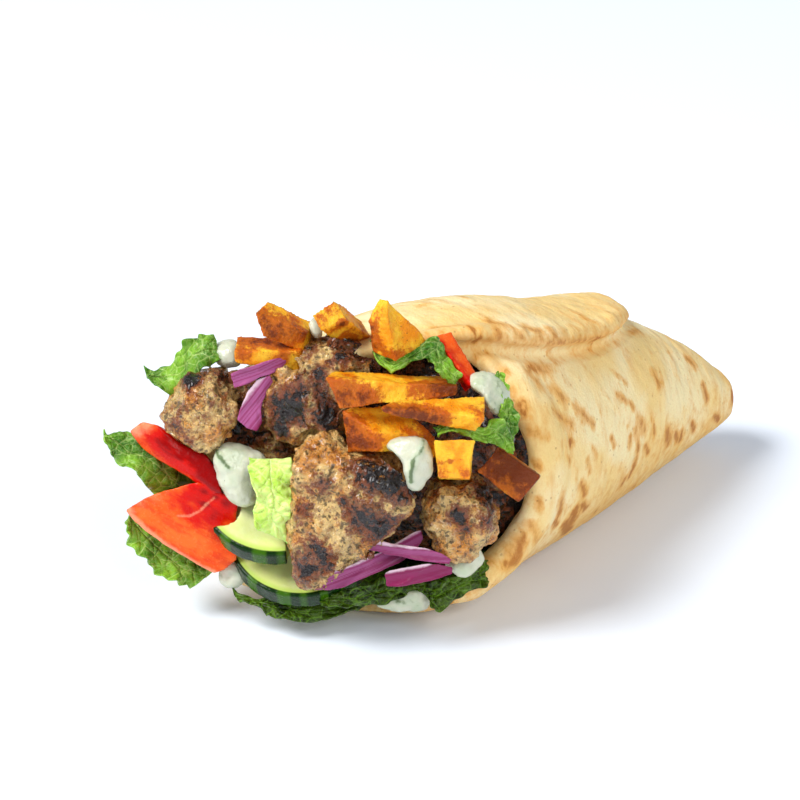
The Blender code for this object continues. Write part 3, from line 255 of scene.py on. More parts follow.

# Tomato wedges, sauce, onion strips and dark chicken behind the front pieces, the chicken
# dark as painted shade: depth, dome and outline in the mouth's frame
SLABS = {
    "tomato_upper": (7, 1, (
        (-55.4, 56.7, 14), (-52.1, 59.4, 14), (-48.2, 58.7, 14), (-45.8, 56.9, 14),
        (-42, 53.7, 14), (-35.7, 51.5, 15), (-33.5, 49, 16), (-31.7, 45, 17), (-31.3, 42.1, 18),
        (-34.2, 41.1, 17), (-38.9, 44.1, 16), (-44.2, 47, 15), (-48.8, 48.8, 14),
        (-52.5, 51.7, 14),
    )),
    "tomato_lower": (7, 0.8, (
        (-57.2, 35.4, 17), (-52, 39.2, 17), (-46.9, 41.5, 17), (-41.8, 43.6, 17),
        (-37.9, 44.7, 17), (-34.3, 44, 17), (-31.5, 42.2, 17), (-27.5, 40.1, 17),
        (-28.2, 34.3, 17), (-27.9, 27, 17), (-28.6, 22.5, 17), (-31.9, 19, 17), (-34.6, 18, 17),
        (-37.7, 19.5, 17), (-42.3, 22.5, 17), (-47.7, 26, 17), (-52.5, 29.8, 17),
        (-55.5, 32.9, 17),
    )),
    "sauce_left": (7, 3, (
        (-33.2, 54.2, 19), (-31.8, 56.3, 18), (-28.4, 56.3, 17), (-24.1, 54.6, 16),
        (-19.5, 52.6, 16), (-20.5, 48.5, 17), (-22, 44.7, 18), (-21.7, 42, 20), (-24.7, 39.8, 21),
        (-28.5, 41, 21), (-30.9, 44.3, 20), (-32.4, 49.9, 20),
    )),
    "sauce_middle": (5, 2, (
        (11.2, 61.8, 26), (13.8, 63.7, 25), (17.5, 64.7, 25), (20.9, 64.9, 25), (22.7, 62.3, 25),
        (23.5, 59, 26), (23.5, 54.9, 26), (21.2, 53.6, 27), (20.1, 51, 28), (18, 51.7, 29),
        (16.5, 55.2, 29), (16.6, 59.1, 28), (14.5, 60.9, 27),
    )),
    "sauce_right": (6, 2.5, (
        (29.6, 74.3, 11), (32.1, 75.7, 9), (35.5, 75.1, 8), (38.3, 72.7, 7), (40.6, 70, 7),
        (41, 67.2, 8), (39.6, 65.3, 10), (37.3, 65, 12), (35.3, 68.1, 13), (34.8, 71.1, 13),
        (31.9, 72.1, 12),
    )),
    "sauce_low_left": (5, 2.5, (
        (-34.7, 15.4, 13), (-33.2, 19.7, 13), (-28.9, 22.3, 13), (-25.2, 22, 13), (-23.1, 20, 13),
        (-26.2, 16.8, 14), (-28.3, 13, 15), (-31.5, 12.8, 15), (-34.3, 13.5, 14),
    )),
    "sauce_low": (3, 0.6, (
        (7.2, 10.6, 16), (10, 13.2, 15), (12.7, 14.6, 14), (16.4, 14.3, 14), (20.2, 14.8, 13),
        (21.8, 11.9, 13), (21.5, 8.9, 13), (16.9, 8, 14), (12.6, 8.9, 15), (9.5, 9.9, 16),
    )),
    "sauce_top_left": (6, 2.5, (
        (-36.5, 75.2, 4), (-35, 77.6, 3), (-31.9, 79.1, 3), (-28.6, 79.2, 4), (-27.8, 76.1, 5),
        (-27.7, 73.1, 7), (-30.8, 72.1, 7), (-34.8, 72.9, 5),
    )),
    "sauce_drop_top": (4, 1.5, (
        (-10.6, 85.2, 4), (-9.2, 86, 3), (-7.1, 84.3, 4), (-6.6, 81.9, 6), (-8.8, 81.3, 6),
        (-10.5, 82.9, 5),
    )),
    "sauce_drop_right": (4, 1.8, (
        (25.2, 25.5, 18), (27.2, 29, 16), (30.6, 30, 16), (33.6, 30.2, 16), (35.5, 27.6, 16),
        (35.8, 25.3, 16), (33.4, 24, 17), (32.2, 22.4, 18), (29.2, 22.5, 19), (26.9, 23.8, 19),
    )),
    "onion_low": (1.8, 0.2, (
        (-6.6, 20.3, 26), (-5.2, 23.3, 26), (-3, 25.8, 26), (0.7, 27.2, 26), (4.1, 28.6, 25),
        (6.9, 30, 24), (9.7, 30.7, 23), (14.6, 33.1, 21), (17.9, 34.8, 19), (19.8, 35.3, 18),
        (20.3, 32.7, 18), (17.9, 28.7, 19), (14.6, 26.7, 21), (10, 25.2, 23), (6.9, 23.9, 24),
        (3.8, 22.8, 25), (0.6, 21.4, 26), (-2.7, 20.4, 26),
    )),
    "onion_middle": (1.8, 0.2, (
        (6.1, 33.1, 26), (6.6, 35.1, 26), (7.6, 36, 26), (10.1, 35.7, 26), (13.3, 34.5, 25),
        (16.8, 34.1, 25), (21.5, 33.2, 24), (25.4, 31.3, 23), (27.9, 29.3, 22),
        (27.4, 27.6, 22), (24.9, 28.3, 23), (22.2, 29.2, 24), (18.6, 30.1, 25), (15, 30.8, 25),
        (11.9, 31.7, 26), (9.4, 32.4, 26), (7.2, 32.8, 26),
    )),
    "onion_right": (1.8, 0.2, (
        (11.8, 23.2, 27), (11.2, 26.9, 27), (12.4, 27.8, 27), (15.2, 28.2, 26),
        (18.6, 28.5, 25), (22.2, 28.8, 24), (24.9, 27.7, 22), (28, 25.9, 20), (28, 23.9, 20),
        (24.9, 23.4, 22), (20.3, 23, 24), (16.9, 23.2, 26), (14.5, 23.3, 27),
    )),
    "onion_top_left": (1.8, 0.2, (
        (-27.2, 72, 18), (-28, 75.8, 18), (-25.5, 77.4, 18), (-23.2, 77.7, 17),
        (-20.8, 78.2, 16), (-17.7, 78.7, 14), (-15, 78.7, 12), (-14.8, 77, 12),
        (-16.4, 75.2, 13), (-18.6, 74.8, 15), (-20.9, 74.4, 16), (-23.3, 73.1, 17),
        (-25.7, 72.4, 18),
    )),
    "onion_left": (1.8, 0.2, (
        (-18.6, 74.6, 15), (-21.7, 73.8, 16), (-23.7, 71.2, 17), (-25, 68.8, 18),
        (-26.1, 66, 18), (-26.7, 63.2, 18), (-24.3, 61, 18), (-21.8, 60.2, 18),
        (-20.6, 62.3, 17), (-20.8, 65.6, 17), (-20.4, 67.9, 16), (-19.2, 70.5, 15),
        (-18.1, 72.6, 14),
    )),
    "chicken_dark_left": (4, 1.0, (
        (-31.4, 74.3, 9), (-27.4, 72.3, 9), (-21.9, 74.9, 8), (-16.9, 75.8, 7),
        (-16.4, 67.5, 8), (-19.1, 58, 9), (-20.8, 52.5, 9), (-27.9, 51.4, 10),
        (-34.5, 49.5, 11), (-37.3, 52.5, 11), (-35, 56.2, 10), (-32.3, 64.3, 9),
    )),
    "chicken_dark_top": (4, 1.0, (
        (-6.5, 83.3, 8), (-2, 83.8, 8), (1.9, 82, 7), (5.9, 79.2, 7), (8.4, 75.5, 7),
        (8.9, 72.2, 7), (0.4, 71.1, 8), (-5.9, 73.5, 8),
    )),
}

# Strokes of herb and cucumber skin in the sauce: ends, reach and strength
SAUCE_SHREDS = (
    (-83.1, 17, 54, -84, 14.2, 53.1, 0.75, 1), (-84, 14.2, 53.1, -83.1, 12.2, 51, 0.7, 0.9),
    (-82.3, 17.2, 54.5, -82, 14.2, 54.7, 0.5, 0.5), (-83, 12.6, 41.4, -80.8, 8.8, 40.7, 0.8, 0.3),
    (-53.5, -28.2, 63.3, -55.2, -29, 61.5, 0.8, 0.8),
    (-55.2, -29, 61.5, -57.1, -28.6, 59.8, 0.6, 0.7),
    (-57.4, -28.6, 59.3, -58.4, -28.9, 56.7, 0.6, 1),
    (-58.4, -28.9, 56.7, -58.3, -28.8, 53.9, 0.6, 1),
    (-56.5, -29, 60, -57.4, -29.2, 57.1, 0.5, 0.5),
    (-36.3, -27.8, 73.2, -35, -28.5, 73.6, 1, 0.35),
    (-30.4, -29.5, 73.1, -30.1, -31.3, 70.3, 1.2, 0.6),
    (-34.1, -31.3, 69.4, -31.4, -32.1, 66.6, 1.4, 0.5),
    (-53.3, -13.4, 12.4, -51.7, -14.8, 13, 0.9, 0.8),
    (-51.3, -16.2, 11.9, -49.9, -17.4, 11.3, 1, 0.7), (-48.8, -18.1, 12, -47, -19.2, 10, 1.2, 0.5),
    (-54.8, -13.1, 10.4, -52.5, -15.3, 9.9, 1, 0.5),
    (-74.7, 27.5, 75.7, -75.1, 24.6, 75.1, 0.9, 0.5),
    (-72.8, 24.1, 77.6, -71.9, 21.9, 76.7, 0.8, 0.35),
)

# Onion strips: axis of the ring that each was cut from, width, share of magenta
ONION_RINGS = {
    "onion_top_left": ((-0.233, 0.135, 0.963), 6.5, 0.0),
    "onion_left": ((-0.521, 0.592, 0.616), 8.0, 0.0),
    "onion_low": ((-0.32, 0.207, 0.924), 6.5, 0.15),
    "onion_middle": ((-0.002, -0.208, 0.978), 4.6, 0.3),
    "onion_right": ((-0.116, 0.027, 0.993), 6.0, 1.0),
}

# Deep red places of the tomato, and pale ones: ends, reach and strength
TOMATO_DEPTHS = {
    "tomato_upper": (
        (-91.8, 26.7, 55, -89.4, 23.9, 52.1, 3, 0.95),
        (-86.2, 23.9, 52.5, 3, 0.8), (-85.1, 21.3, 50.6, 4, 1), (-84.1, 19, 47.9, 4, 1.05),
        (-83.3, 16.9, 44.7, 3, 1), (-87.7, 26.1, 53.6, 2.5, 0.6), (-86, 20.4, 46.9, 3, 0.6),
        (-89.1, 27.5, 55, 2, 0.5),
    ),
    "tomato_lower": (
        (-87.2, 21.2, 42.7, 3, 0.85), (-85.4, 19.4, 42.2, 3.2, 1), (-83.7, 17.5, 40.6, 3.2, 1),
        (-88.6, 22.4, 40.4, 3, 0.8), (-90.1, 24.6, 40.7, 2.2, 0.55), (-85.6, 19.3, 38.6, 3.6, 1),
        (-84, 17.4, 35.9, 3.6, 1), (-82.2, 15.4, 38.6, 4, 1), (-88.4, 22.2, 36.4, 3, 0.75),
        (-87, 20.4, 34.3, 2.6, 0.6), (-91.4, 25.7, 37.2, 2.2, 0.5), (-83.6, 16.8, 32.8, 2.5, 0.6),
    ),
    "tomato_strip": (
        (-39.9, -19.2, 82, 1.6, 0.8), (-38.9, -20.3, 78.6, 2, 1), (-37.8, -22.5, 74.9, 2.2, 1.15),
        (-36.6, -24.5, 71.9, 2.4, 1.2),
    ),
}
TOMATO_PALE = {
    "tomato_upper": (
        (-95.1, 34.5, 57.2, 2.2, 0.9), (-93.2, 32.6, 58.7, 2.2, 0.8),
        (-92.6, 32.6, 50.2, 0.9, 0.4), (-90.5, 29.1, 48.3, 0.9, 0.4),
        (-87.8, 25.2, 45.7, 0.9, 0.35),
    ),
    "tomato_lower": (
        (-98.6, 34.3, 35.2, 1.6, 0.8), (-96.7, 32.4, 37.6, 3.5, 0.5),
        (-94.3, 29.4, 39.7, 3.5, 0.5), (-91.8, 26.6, 41.1, 2.5, 0.4),
        (-98.8, 34.5, 34.6, -96.2, 31.5, 30.2, 0.9, 1),
        (-96.2, 31.5, 30.2, -93.1, 28.2, 26.3, 0.9, 1),
        (-93.1, 28.2, 26.3, -89.4, 24.4, 22.7, 0.9, 1),
        (-89.4, 24.4, 22.7, -86.3, 21, 19.6, 0.9, 1), (-86.3, 21, 19.6, -84.6, 18.6, 18.5, 0.9, 1),
        (-90.5, 24.7, 34.7, -88.4, 22.3, 34.9, 0.45, 0.75),
        (-88.4, 22.3, 34.9, -86.7, 20.2, 36.6, 0.45, 0.8),
        (-86.7, 20.2, 36.6, -85.1, 18.8, 38.9, 0.45, 0.8),
        (-85.1, 18.8, 38.9, -83.9, 17.7, 40.3, 0.45, 0.7),
    ),
    "tomato_strip": (
        (-40.5, -18.4, 83.8, 0.6, 0.6),
    ),
}

TOMATO_RIPENESS = {"tomato_upper": 0.4}

# Cucumber slices: middle, axis, side direction and radius
CUCUMBER_SLICES = {
    "cucumber_upper": ((-66.3, 12.9, 38.5), (-0.372, -0.377, 0.848), (0.711, -0.703, 0.0), 21.0),
    "cucumber_lower": ((-60.9, 9.7, 24.2), (-0.364, -0.343, 0.866), (0.686, -0.727, 0.0), 20.0),
}

# Leaves: tone, ruffle, waves, raggedness and both edges in the mouth's frame
LEAVES = {
    "leaf_left_point": ("green", 1.6, 2, 0.7,
        ((-63, 54.1, 12), (-58, 55.3, 12), (-53.1, 53.3, 11), (-48, 49.8, 9), (-43.1, 44.5, 6),
         (-38.7, 38.6, 3)),
        ((-62.6, 53.8, 13), (-60.7, 50.7, 14), (-58.8, 47, 15), (-55.2, 46.6, 15),
         (-52.3, 40.6, 13), (-48.3, 32.9, 9))),
    "leaf_left_ruffle": ("green", 2, 3, 0.8,
        ((-57.2, 31, 6), (-53.1, 26.8, 6), (-48.4, 22.9, 6), (-43.8, 19, 6), (-39.6, 15.6, 6),
         (-36.5, 12.7, 6)),
        ((-59.4, 27.9, 11), (-57.8, 24, 13), (-54.1, 19.2, 14), (-50, 15.2, 14), (-45.6, 12.5, 14),
         (-40.1, 12, 12))),
    "leaf_top_left": ("green", 1.8, 2, 0.5,
        ((-53.2, 67.7, 3), (-48.3, 70.4, 2), (-43.7, 73.9, 2), (-40.9, 78.2, 2), (-37.5, 79.7, 3),
         (-34.5, 77.9, 3)),
        ((-52.5, 67.5, 5), (-48.5, 66, 8), (-43.9, 65.3, 9), (-40.1, 69.4, 9), (-36.5, 72.8, 8),
         (-33, 74, 6))),
    "leaf_pale": ("pale", 1.3, 2, 0.5,
        ((-23.4, 53.3, 20), (-23.4, 52.3, 23), (-22.1, 48.9, 25), (-20.8, 45.3, 26),
         (-21.7, 42.1, 27), (-21.1, 37.8, 27)),
        ((-12.7, 54.4, 20), (-12.2, 50.7, 22), (-12.4, 47, 23), (-12.5, 43.3, 24),
         (-12.5, 40.1, 25), (-12.6, 31.9, 24))),
    "leaf_under": ("low", 1.4, 2.5, 0.6,
        ((-30.9, 10.5, 13), (-24.4, 10.6, 15), (-16.4, 10.2, 15), (-8.5, 10.4, 15),
         (-0.9, 10.1, 13), (9.2, 9, 9)),
        ((-28, 9.7, 17), (-22, 8.9, 18), (-18.5, 7, 19), (-11.9, 6.2, 19), (-4.3, 6.5, 17),
         (2.7, 8.2, 14))),
    "leaf_front": ("low", 1, 2, 0.4,
        ((-8.4, 16.1, 20), (-1.1, 17.2, 20), (5.3, 18.8, 19), (11.4, 19.6, 16), (18.5, 18.7, 10)),
        ((-5.7, 13, 21), (1.6, 12.9, 21), (7.6, 12.7, 19), (13.5, 13.4, 16), (20.9, 14, 12))),
    "leaf_low_right": ("low", 1.2, 1.5, 0.5,
        ((18, 14.4, 12), (22.8, 17.7, 13), (27.8, 19, 12), (32.8, 20.3, 9), (37.7, 20.7, 5)),
        ((22, 12.8, 15), (24.2, 10, 16), (28.6, 12.7, 14), (33.5, 14.3, 10), (38.1, 15.6, 6))),
    "leaf_top": ("green", 1.2, 3, 0.8,
        ((5, 79.5, 4), (8.3, 79.5, 8), (11.4, 78.8, 11), (15.4, 81.1, 11), (19.2, 83.6, 10),
         (21.9, 84.3, 9), (24.1, 81.5, 9), (26.2, 78.3, 10), (27.8, 74, 10)),
        ((6.3, 78.8, 8), (9, 77.2, 12), (12, 77.4, 14), (16.1, 78.5, 13), (19.6, 80.3, 13),
         (21.6, 79.1, 13), (22.8, 76.2, 13), (25.1, 74.9, 13), (27.2, 73, 12))),
    "leaf_right": ("green", 1, 2, 0.5,
        ((36.7, 74.3, 6), (36.9, 71.9, 8), (38, 68.6, 9), (38.4, 65.7, 11), (39.1, 62.4, 12),
         (39, 59, 13)),
        ((37.9, 73.7, 5), (39.5, 70.6, 6), (41.4, 67.1, 7), (42.6, 63.9, 9), (42.8, 59.7, 10),
         (42, 55.6, 12))),
    "leaf_curl": ("green", 1.3, 2.5, 0.5,
        ((23.6, 65.2, 22), (25.9, 68.1, 21), (28.8, 67.7, 21), (31.7, 65.8, 20), (35.3, 64.5, 18),
         (38, 66.7, 16), (40.2, 64.5, 14), (42.2, 59.7, 13)),
        ((24.5, 64.1, 24), (27.1, 65.4, 23), (30.7, 64.5, 22), (33.8, 61.8, 20), (36.6, 60.5, 18),
         (38.7, 58.8, 16), (40.6, 56.2, 14), (42, 57.2, 13))),
}

# Rows and columns of a leaf's mesh, and the lowest that a leaf comes to the table
LEAF_ROWS = 72
LEAF_COLUMNS = 26
LEAF_FLOOR = 0.9

# A leaf's frill starts at this share of its half width, has this many waves for each of its
# ruffle's, and is this far out of step on the two sides
FRILL_START = 0.45
FRILL_WAVES = 2.7
SIDES_APART = 2.1
# Half widths of a leaf's middle rib and side ribs, how many side ribs there are, and how
# far they lean
MIDDLE_RIB = 0.07
SIDE_RIB = 0.06
SIDE_RIBS = 6.0
RIB_LEAN = 1.5

# Cuts along each edge of a stick, and size of its unevenness
STICK_CUTS = 7
STICK_UNEVENNESS = 7.0

# Towards the camera in the mouth's frame, how far rounded slabs grow beforehand, and how
# much narrower a slab's back is
IN_FRONT = Vector((0.1, 0.42, 0.9))
ROUNDED_GROWTH = 1.12
SLAB_TAPER = 0.9

# Relief of each food: kind of noise, its size and its depth
RELIEFS = {
    "bread": (("SOFT", 16.0, 0.9), ("SOFT", 5.0, 0.45), ("SOFT", 1.8, 0.14)),
    "chicken": (("HARD", 8.0, 3.4), ("HARD", 3.6, 1.0), ("SOFT", 1.4, 0.35)),
    "dark_chicken": (("HARD", 4.0, 1.6),),
    "fries": (("SOFT", 4.0, 0.5), ("HARD", 1.1, 0.3)),
    "onions": (("SOFT", 5.0, 0.5),),
    "tomatoes": (("SOFT", 8.0, 0.9), ("SOFT", 2.5, 0.2)),
    "cucumbers": (("SOFT", 6.0, 0.3),),
    "sauce": (("SOFT", 5.0, 1.4), ("SOFT", 2.0, 0.4)),
    "bed": (("SOFT", 5.0, 0.6),),
}
# How much coarser the meshes of the hidden filling and of the dark chicken are
FILLING_COARSENESS = 2.4
DARK_COARSENESS = 1.6
# Smoothing passes that ridges are measured against
RIDGE_PASSES = {"bread": 10, "chicken": 14, "fries": 16}
# A mark is full this near its middle and gone this far away, in shares of its reach
MARK_FULL = 0.1
MARK_GONE = 2.1

# Distance at which points are merged, and mesh size of the bed of lettuce, in metres
WELD = 0.000001
BED_VOXEL = 0.0008

# Stage, lights and camera, in metres and degrees
FLOOR_SIZE = 8.0
CAMERA_TARGET = (-0.03267, 0.00366, 0.0568)
CAMERA_AZIMUTH = -42.0
CAMERA_ELEVATION = 25.0
CAMERA_DISTANCE = 0.525
CAMERA_LENS = 90.0
CAMERA_CLIP = 0.01
KEY_PLACE = (-2.8, 0.8, 3.2)
KEY_SIZE = 1.7
FILL_PLACE = (-0.7, -3.2, 2.4)
FILL_SIZE = 1.6


def srgb(red, green, blue):
    """A screen colour from 0 to 255 as a linear colour with full alpha."""
    shares = [value / 255.0 for value in (red, green, blue)]
    return tuple([s / 12.92 if s <= 0.04045 else ((s + 0.055) / 1.055) ** 2.4
                  for s in shares] + [1.0])


def length(label, default, text):
    """A length property that is kept in metres and given in millimetres."""
    return bpy.props.FloatProperty(name=label, description=text, default=default * MM,
                                   min=0.0, unit="LENGTH", subtype="DISTANCE")


def colour(label, default, text):
    """A colour property that is given as a screen colour."""
    return bpy.props.FloatVectorProperty(name=label, description=text, subtype="COLOR",
                                         size=4, min=0.0, max=1.0, default=srgb(*default))


def strength(label, default, text):
    """A property for how strong something is."""
    return bpy.props.FloatProperty(name=label, description=text, default=default, min=0.0)


class Value:
    """A number or a colour on a node's output; arithmetic on it adds Math nodes."""

    def __init__(self, finish, socket):
        self.finish = finish
        self.socket = socket

    def math(self, operation, *values):
        """Add a Math node on values or links."""
        return self.finish.node("ShaderNodeMath", {"operation": operation}, values)

    def __add__(self, other):
        return self.math("ADD", self, other)

    def __sub__(self, other):
        return self.math("SUBTRACT", self, other)

    def __rsub__(self, other):
        return self.math("SUBTRACT", other, self)

    def __mul__(self, other):
        return self.math("MULTIPLY", self, other)

    __radd__ = __add__
    __rmul__ = __mul__

    def rise(self, low, high):
        """0 below low and 1 above high; the other way round where low is above high."""
        return self.finish.node("ShaderNodeMapRange", {"interpolation_type": "SMOOTHSTEP"},
                                (self, low, high, 0.0, 1.0))


class Finish:
    """A material made of nodes, with its unchanging values on the shader's own sockets."""

    def __init__(self, name, surface):
        self.material = bpy.data.materials.new(name)
        self.material.use_nodes = True
        self.tree = self.material.node_tree
        self.shader = self.tree.nodes["Principled BSDF"]
        for socket, value in surface.items():
            self.shader.inputs[socket].default_value = value

    def node(self, kind, settings=None, values=(), output=0):
        """Add a node with its settings and its sockets' values or links."""
        made = self.tree.nodes.new(kind)
        for key, value in (settings or {}).items():
            setattr(made, key, value)
        pairs = values.items() if isinstance(values, dict) else enumerate(values)
        for key, value in pairs:
            if isinstance(value, Value):
                self.tree.links.new(value.socket, made.inputs[key])
            else:
                made.inputs[key].default_value = value
        return Value(self, made.outputs[output])

    def place(self, stretch=None, turn=(0.0, 0.0, 0.0)):
        """Object coordinates, which may be turned and stretched."""
        where = self.node("ShaderNodeTexCoord", output="Object")
        if stretch is None:
            return where
        return self.node("ShaderNodeMapping", {"vector_type": "TEXTURE"},
                         {"Vector": where, "Rotation": turn, "Scale": stretch})

    def noise(self, size, detail=3.0, harsh=0.55, **placing):
        """Noise from 0 to 1 with features of a size in millimetres."""
        return self.node("ShaderNodeTexNoise", {}, {
            "Vector": self.place(**placing), "Scale": 1.0 / (size * MM),
            "Detail": detail, "Roughness": harsh}, "Fac")

    def cells(self, size, feature="F1", output="Distance", **placing):
        """Distance within, or a random number of, cells of a size in millimetres."""
        return self.node("ShaderNodeTexVoronoi", {"feature": feature}, {
            "Vector": self.place(**placing), "Scale": 1.0 / (size * MM)}, output)

    def painted(self, name):
        """A value that is stored at each point of the piece."""
        return self.node("ShaderNodeAttribute", {"attribute_name": name}, output="Fac")

    def blend(self, share, first, second):
        """Two colours mixed by a share."""
        first, second = (tone if isinstance(tone, Value) else tuple(tone)
                         for tone in (first, second))
        return self.node("ShaderNodeMix", {"data_type": "RGBA"},
                         {0: share, 6: first, 7: second}, 2)

    def specks(self, size, radius, rarity):
        """Small scattered specks, of which rarity leaves some out."""
        near = self.cells(size)
        chance = self.node("ShaderNodeSeparateColor", {},
                           [self.cells(size, output="Color")])
        return near.rise(radius, radius * 0.6) * chance.rise(rarity, rarity + 0.02)

    def done(self, base, roughness, height):
        """Feed the colour, roughness and the height of the relief in millimetres."""
        bump = self.node("ShaderNodeBump", {}, {"Height": height, "Distance": MM,
                                                "Strength": 1.0})
        for socket, value in (("Base Color", base), ("Roughness", roughness),
                              ("Normal", bump)):
            self.tree.links.new(value.socket, self.shader.inputs[socket])
        return self.material


def mouth_point(right, up, out):
    """A place in the frame of the mouth, in millimetres, as a world point in them."""
    return MOUTH_ORIGIN + MOUTH_RIGHT * right + MOUTH_UP * up + MOUTH_OUT * out


def take_up(piece):
    """Make a piece the only one selected, and active."""
    bpy.ops.object.select_all(action="DESELECT")
    piece.select_set(True)
    bpy.context.view_layer.objects.active = piece


def add_relief(piece, kind, size, depth):
    """Push the surface in and out by soft noise, or hard noise with creases in it."""
    texture = bpy.data.textures.new(f"{piece.name}_{kind.lower()}", "CLOUDS")
    texture.noise_scale = size * MM
    texture.noise_depth = 2
    texture.noise_type = f"{kind}_NOISE"
    push = piece.modifiers.new(kind, "DISPLACE")
    push.texture = texture
    push.texture_coords = "LOCAL"
    push.strength = depth * MM
    push.mid_level = 0.5


def apply_all(piece):
    """Apply the modifiers in their order and shade the piece smooth."""
    take_up(piece)
    for modifier in list(piece.modifiers):
        bpy.ops.object.modifier_apply(modifier=modifier.name)
    bpy.ops.object.shade_smooth()


def roughen(piece, reliefs):
    """Give a piece its reliefs, and apply all that it has been given."""
    for relief in reliefs:
        add_relief(piece, *relief)
    apply_all(piece)


def round_off(piece, levels):
    """Round a piece off by subdividing it."""
    subdivide = piece.modifiers.new("rounded", "SUBSURF")
    subdivide.levels = levels
    subdivide.render_levels = levels


def even_out(piece, voxel, passes):
    """Give a piece an even mesh and round off its facets."""
    remesh = piece.modifiers.new("even mesh", "REMESH")
    remesh.mode = "VOXEL"
    remesh.voxel_size = voxel
    rounding = piece.modifiers.new("rounding", "SMOOTH")
    rounding.factor = 0.5
    rounding.iterations = passes


def work_up(node, voxel, passes, reliefs, rounded=0):
    """A finer piece worked up from a node's solid."""
    piece = bpy.data.objects.new(node + "_dressed", frame["nodes"][node].data.copy())
    piece.data.materials.clear()
    bpy.context.scene.collection.objects.link(piece)
    take_up(piece)
    bpy.ops.object.mode_set(mode="EDIT")
    bpy.ops.mesh.select_all(action="SELECT")
    bpy.ops.mesh.remove_doubles(threshold=WELD)
    bpy.ops.mesh.tris_convert_to_quads()
    bpy.ops.object.mode_set(mode="OBJECT")
    if rounded:
        round_off(piece, rounded)
    even_out(piece, voxel, passes)
    roughen(piece, reliefs)
    return piece


def settle(piece, material, node):
    """Give a piece its finish and its place in the model."""
    piece.data.materials.clear()
    piece.data.materials.append(material)
    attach(piece, "root")
    if node in SLOTS:
        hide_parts(node)


def points_of(piece):
    """The piece's points, in millimetres."""
    places = np.empty(len(piece.data.vertices) * 3)
    piece.data.vertices.foreach_get("co", places)
    return places.reshape(-1, 3) / MM


def paint(piece, name, values):
    """Store a value at each point, for the finish to read."""
    layer = piece.data.attributes.new(name, "FLOAT", "POINT")
    layer.data.foreach_set("value", np.asarray(values, np.float32))


def cover_of(points, marks):
    """How strongly marks cover points.

    A mark is one or two ends, its reach and its strength.
    """
    cover = np.zeros(len(points))
    for *ends, reach, force in marks:
        start = np.array(ends[:3], float)
        line = np.array(ends[-3:], float) - start
        along = np.clip((points - start) @ line / max(line @ line, 1.0), 0.0, 1.0)
        away = np.linalg.norm(points - start - along[:, None] * line, axis=1)
        share = np.clip((MARK_GONE - away / reach) / (MARK_GONE - MARK_FULL), 0.0, 1.0)
        cover = np.maximum(cover, force * share)
    return cover


def chained(line, reach, force):
    """Marks from each point of a line to its next."""
    return [(*start, *end, reach, force) for start, end in zip(line, line[1:])]


def push_out(piece, marks):
    """Move the surface along its normals by the marks' strength, in millimetres."""
    points = points_of(piece)
    normals = np.empty(points.size)
    piece.data.vertices.foreach_get("normal", normals)
    push = np.zeros(len(points))
    for sign in (-1.0, 1.0):
        chosen = [(*mark[:-1], abs(mark[-1])) for mark in marks if mark[-1] * sign > 0.0]
        push += sign * cover_of(points, chosen)
    moved = (points + push[:, None] * normals.reshape(-1, 3)) * MM
    piece.data.vertices.foreach_set("co", moved.ravel())
    piece.data.update()


def slide(piece, line, moves):
    """Slide the surface beside a line by how far each of its places moves."""
    points = points_of(piece)
    nearest = np.full(len(points), np.inf)
    wanted = np.zeros(len(points))
    for start, end, first, last in zip(line, line[1:], moves, moves[1:]):
        start = np.array(start)
        way = np.array(end) - start
        along = np.clip((points - start) @ way / (way @ way), 0.0, 1.0)
        away = np.linalg.norm(points - start - along[:, None] * way, axis=1)
        closer = away < nearest
        nearest[closer] = away[closer]
        wanted[closer] = (first + (last - first) * along)[closer]
    share = np.clip(1.0 - (nearest / SLIDE_REACH) ** 2, 0.0, 1.0) ** 2
    moved = points + (share * wanted)[:, None] * np.array(SLIDE_WAY)
    piece.data.vertices.foreach_set("co", (moved * MM).ravel())
    piece.data.update()


def paint_ridges(piece, passes):
    """Store how far each point stands out of the evened surface, in millimetres."""
    evener = piece.modifiers.new("evener", "SMOOTH")
    evener.factor = 0.5
    evener.iterations = passes
    evaluated = piece.evaluated_get(bpy.context.evaluated_depsgraph_get())
    even = np.empty(len(piece.data.vertices) * 3)
    evaluated.data.vertices.foreach_get("co", even)
    piece.modifiers.remove(evener)
    normals = np.empty(len(piece.data.vertices) * 3)
    piece.data.vertices.foreach_get("normal", normals)
    out = (points_of(piece) - even.reshape(-1, 3) / MM) * normals.reshape(-1, 3)
    paint(piece, "ridge", out.sum(axis=1))


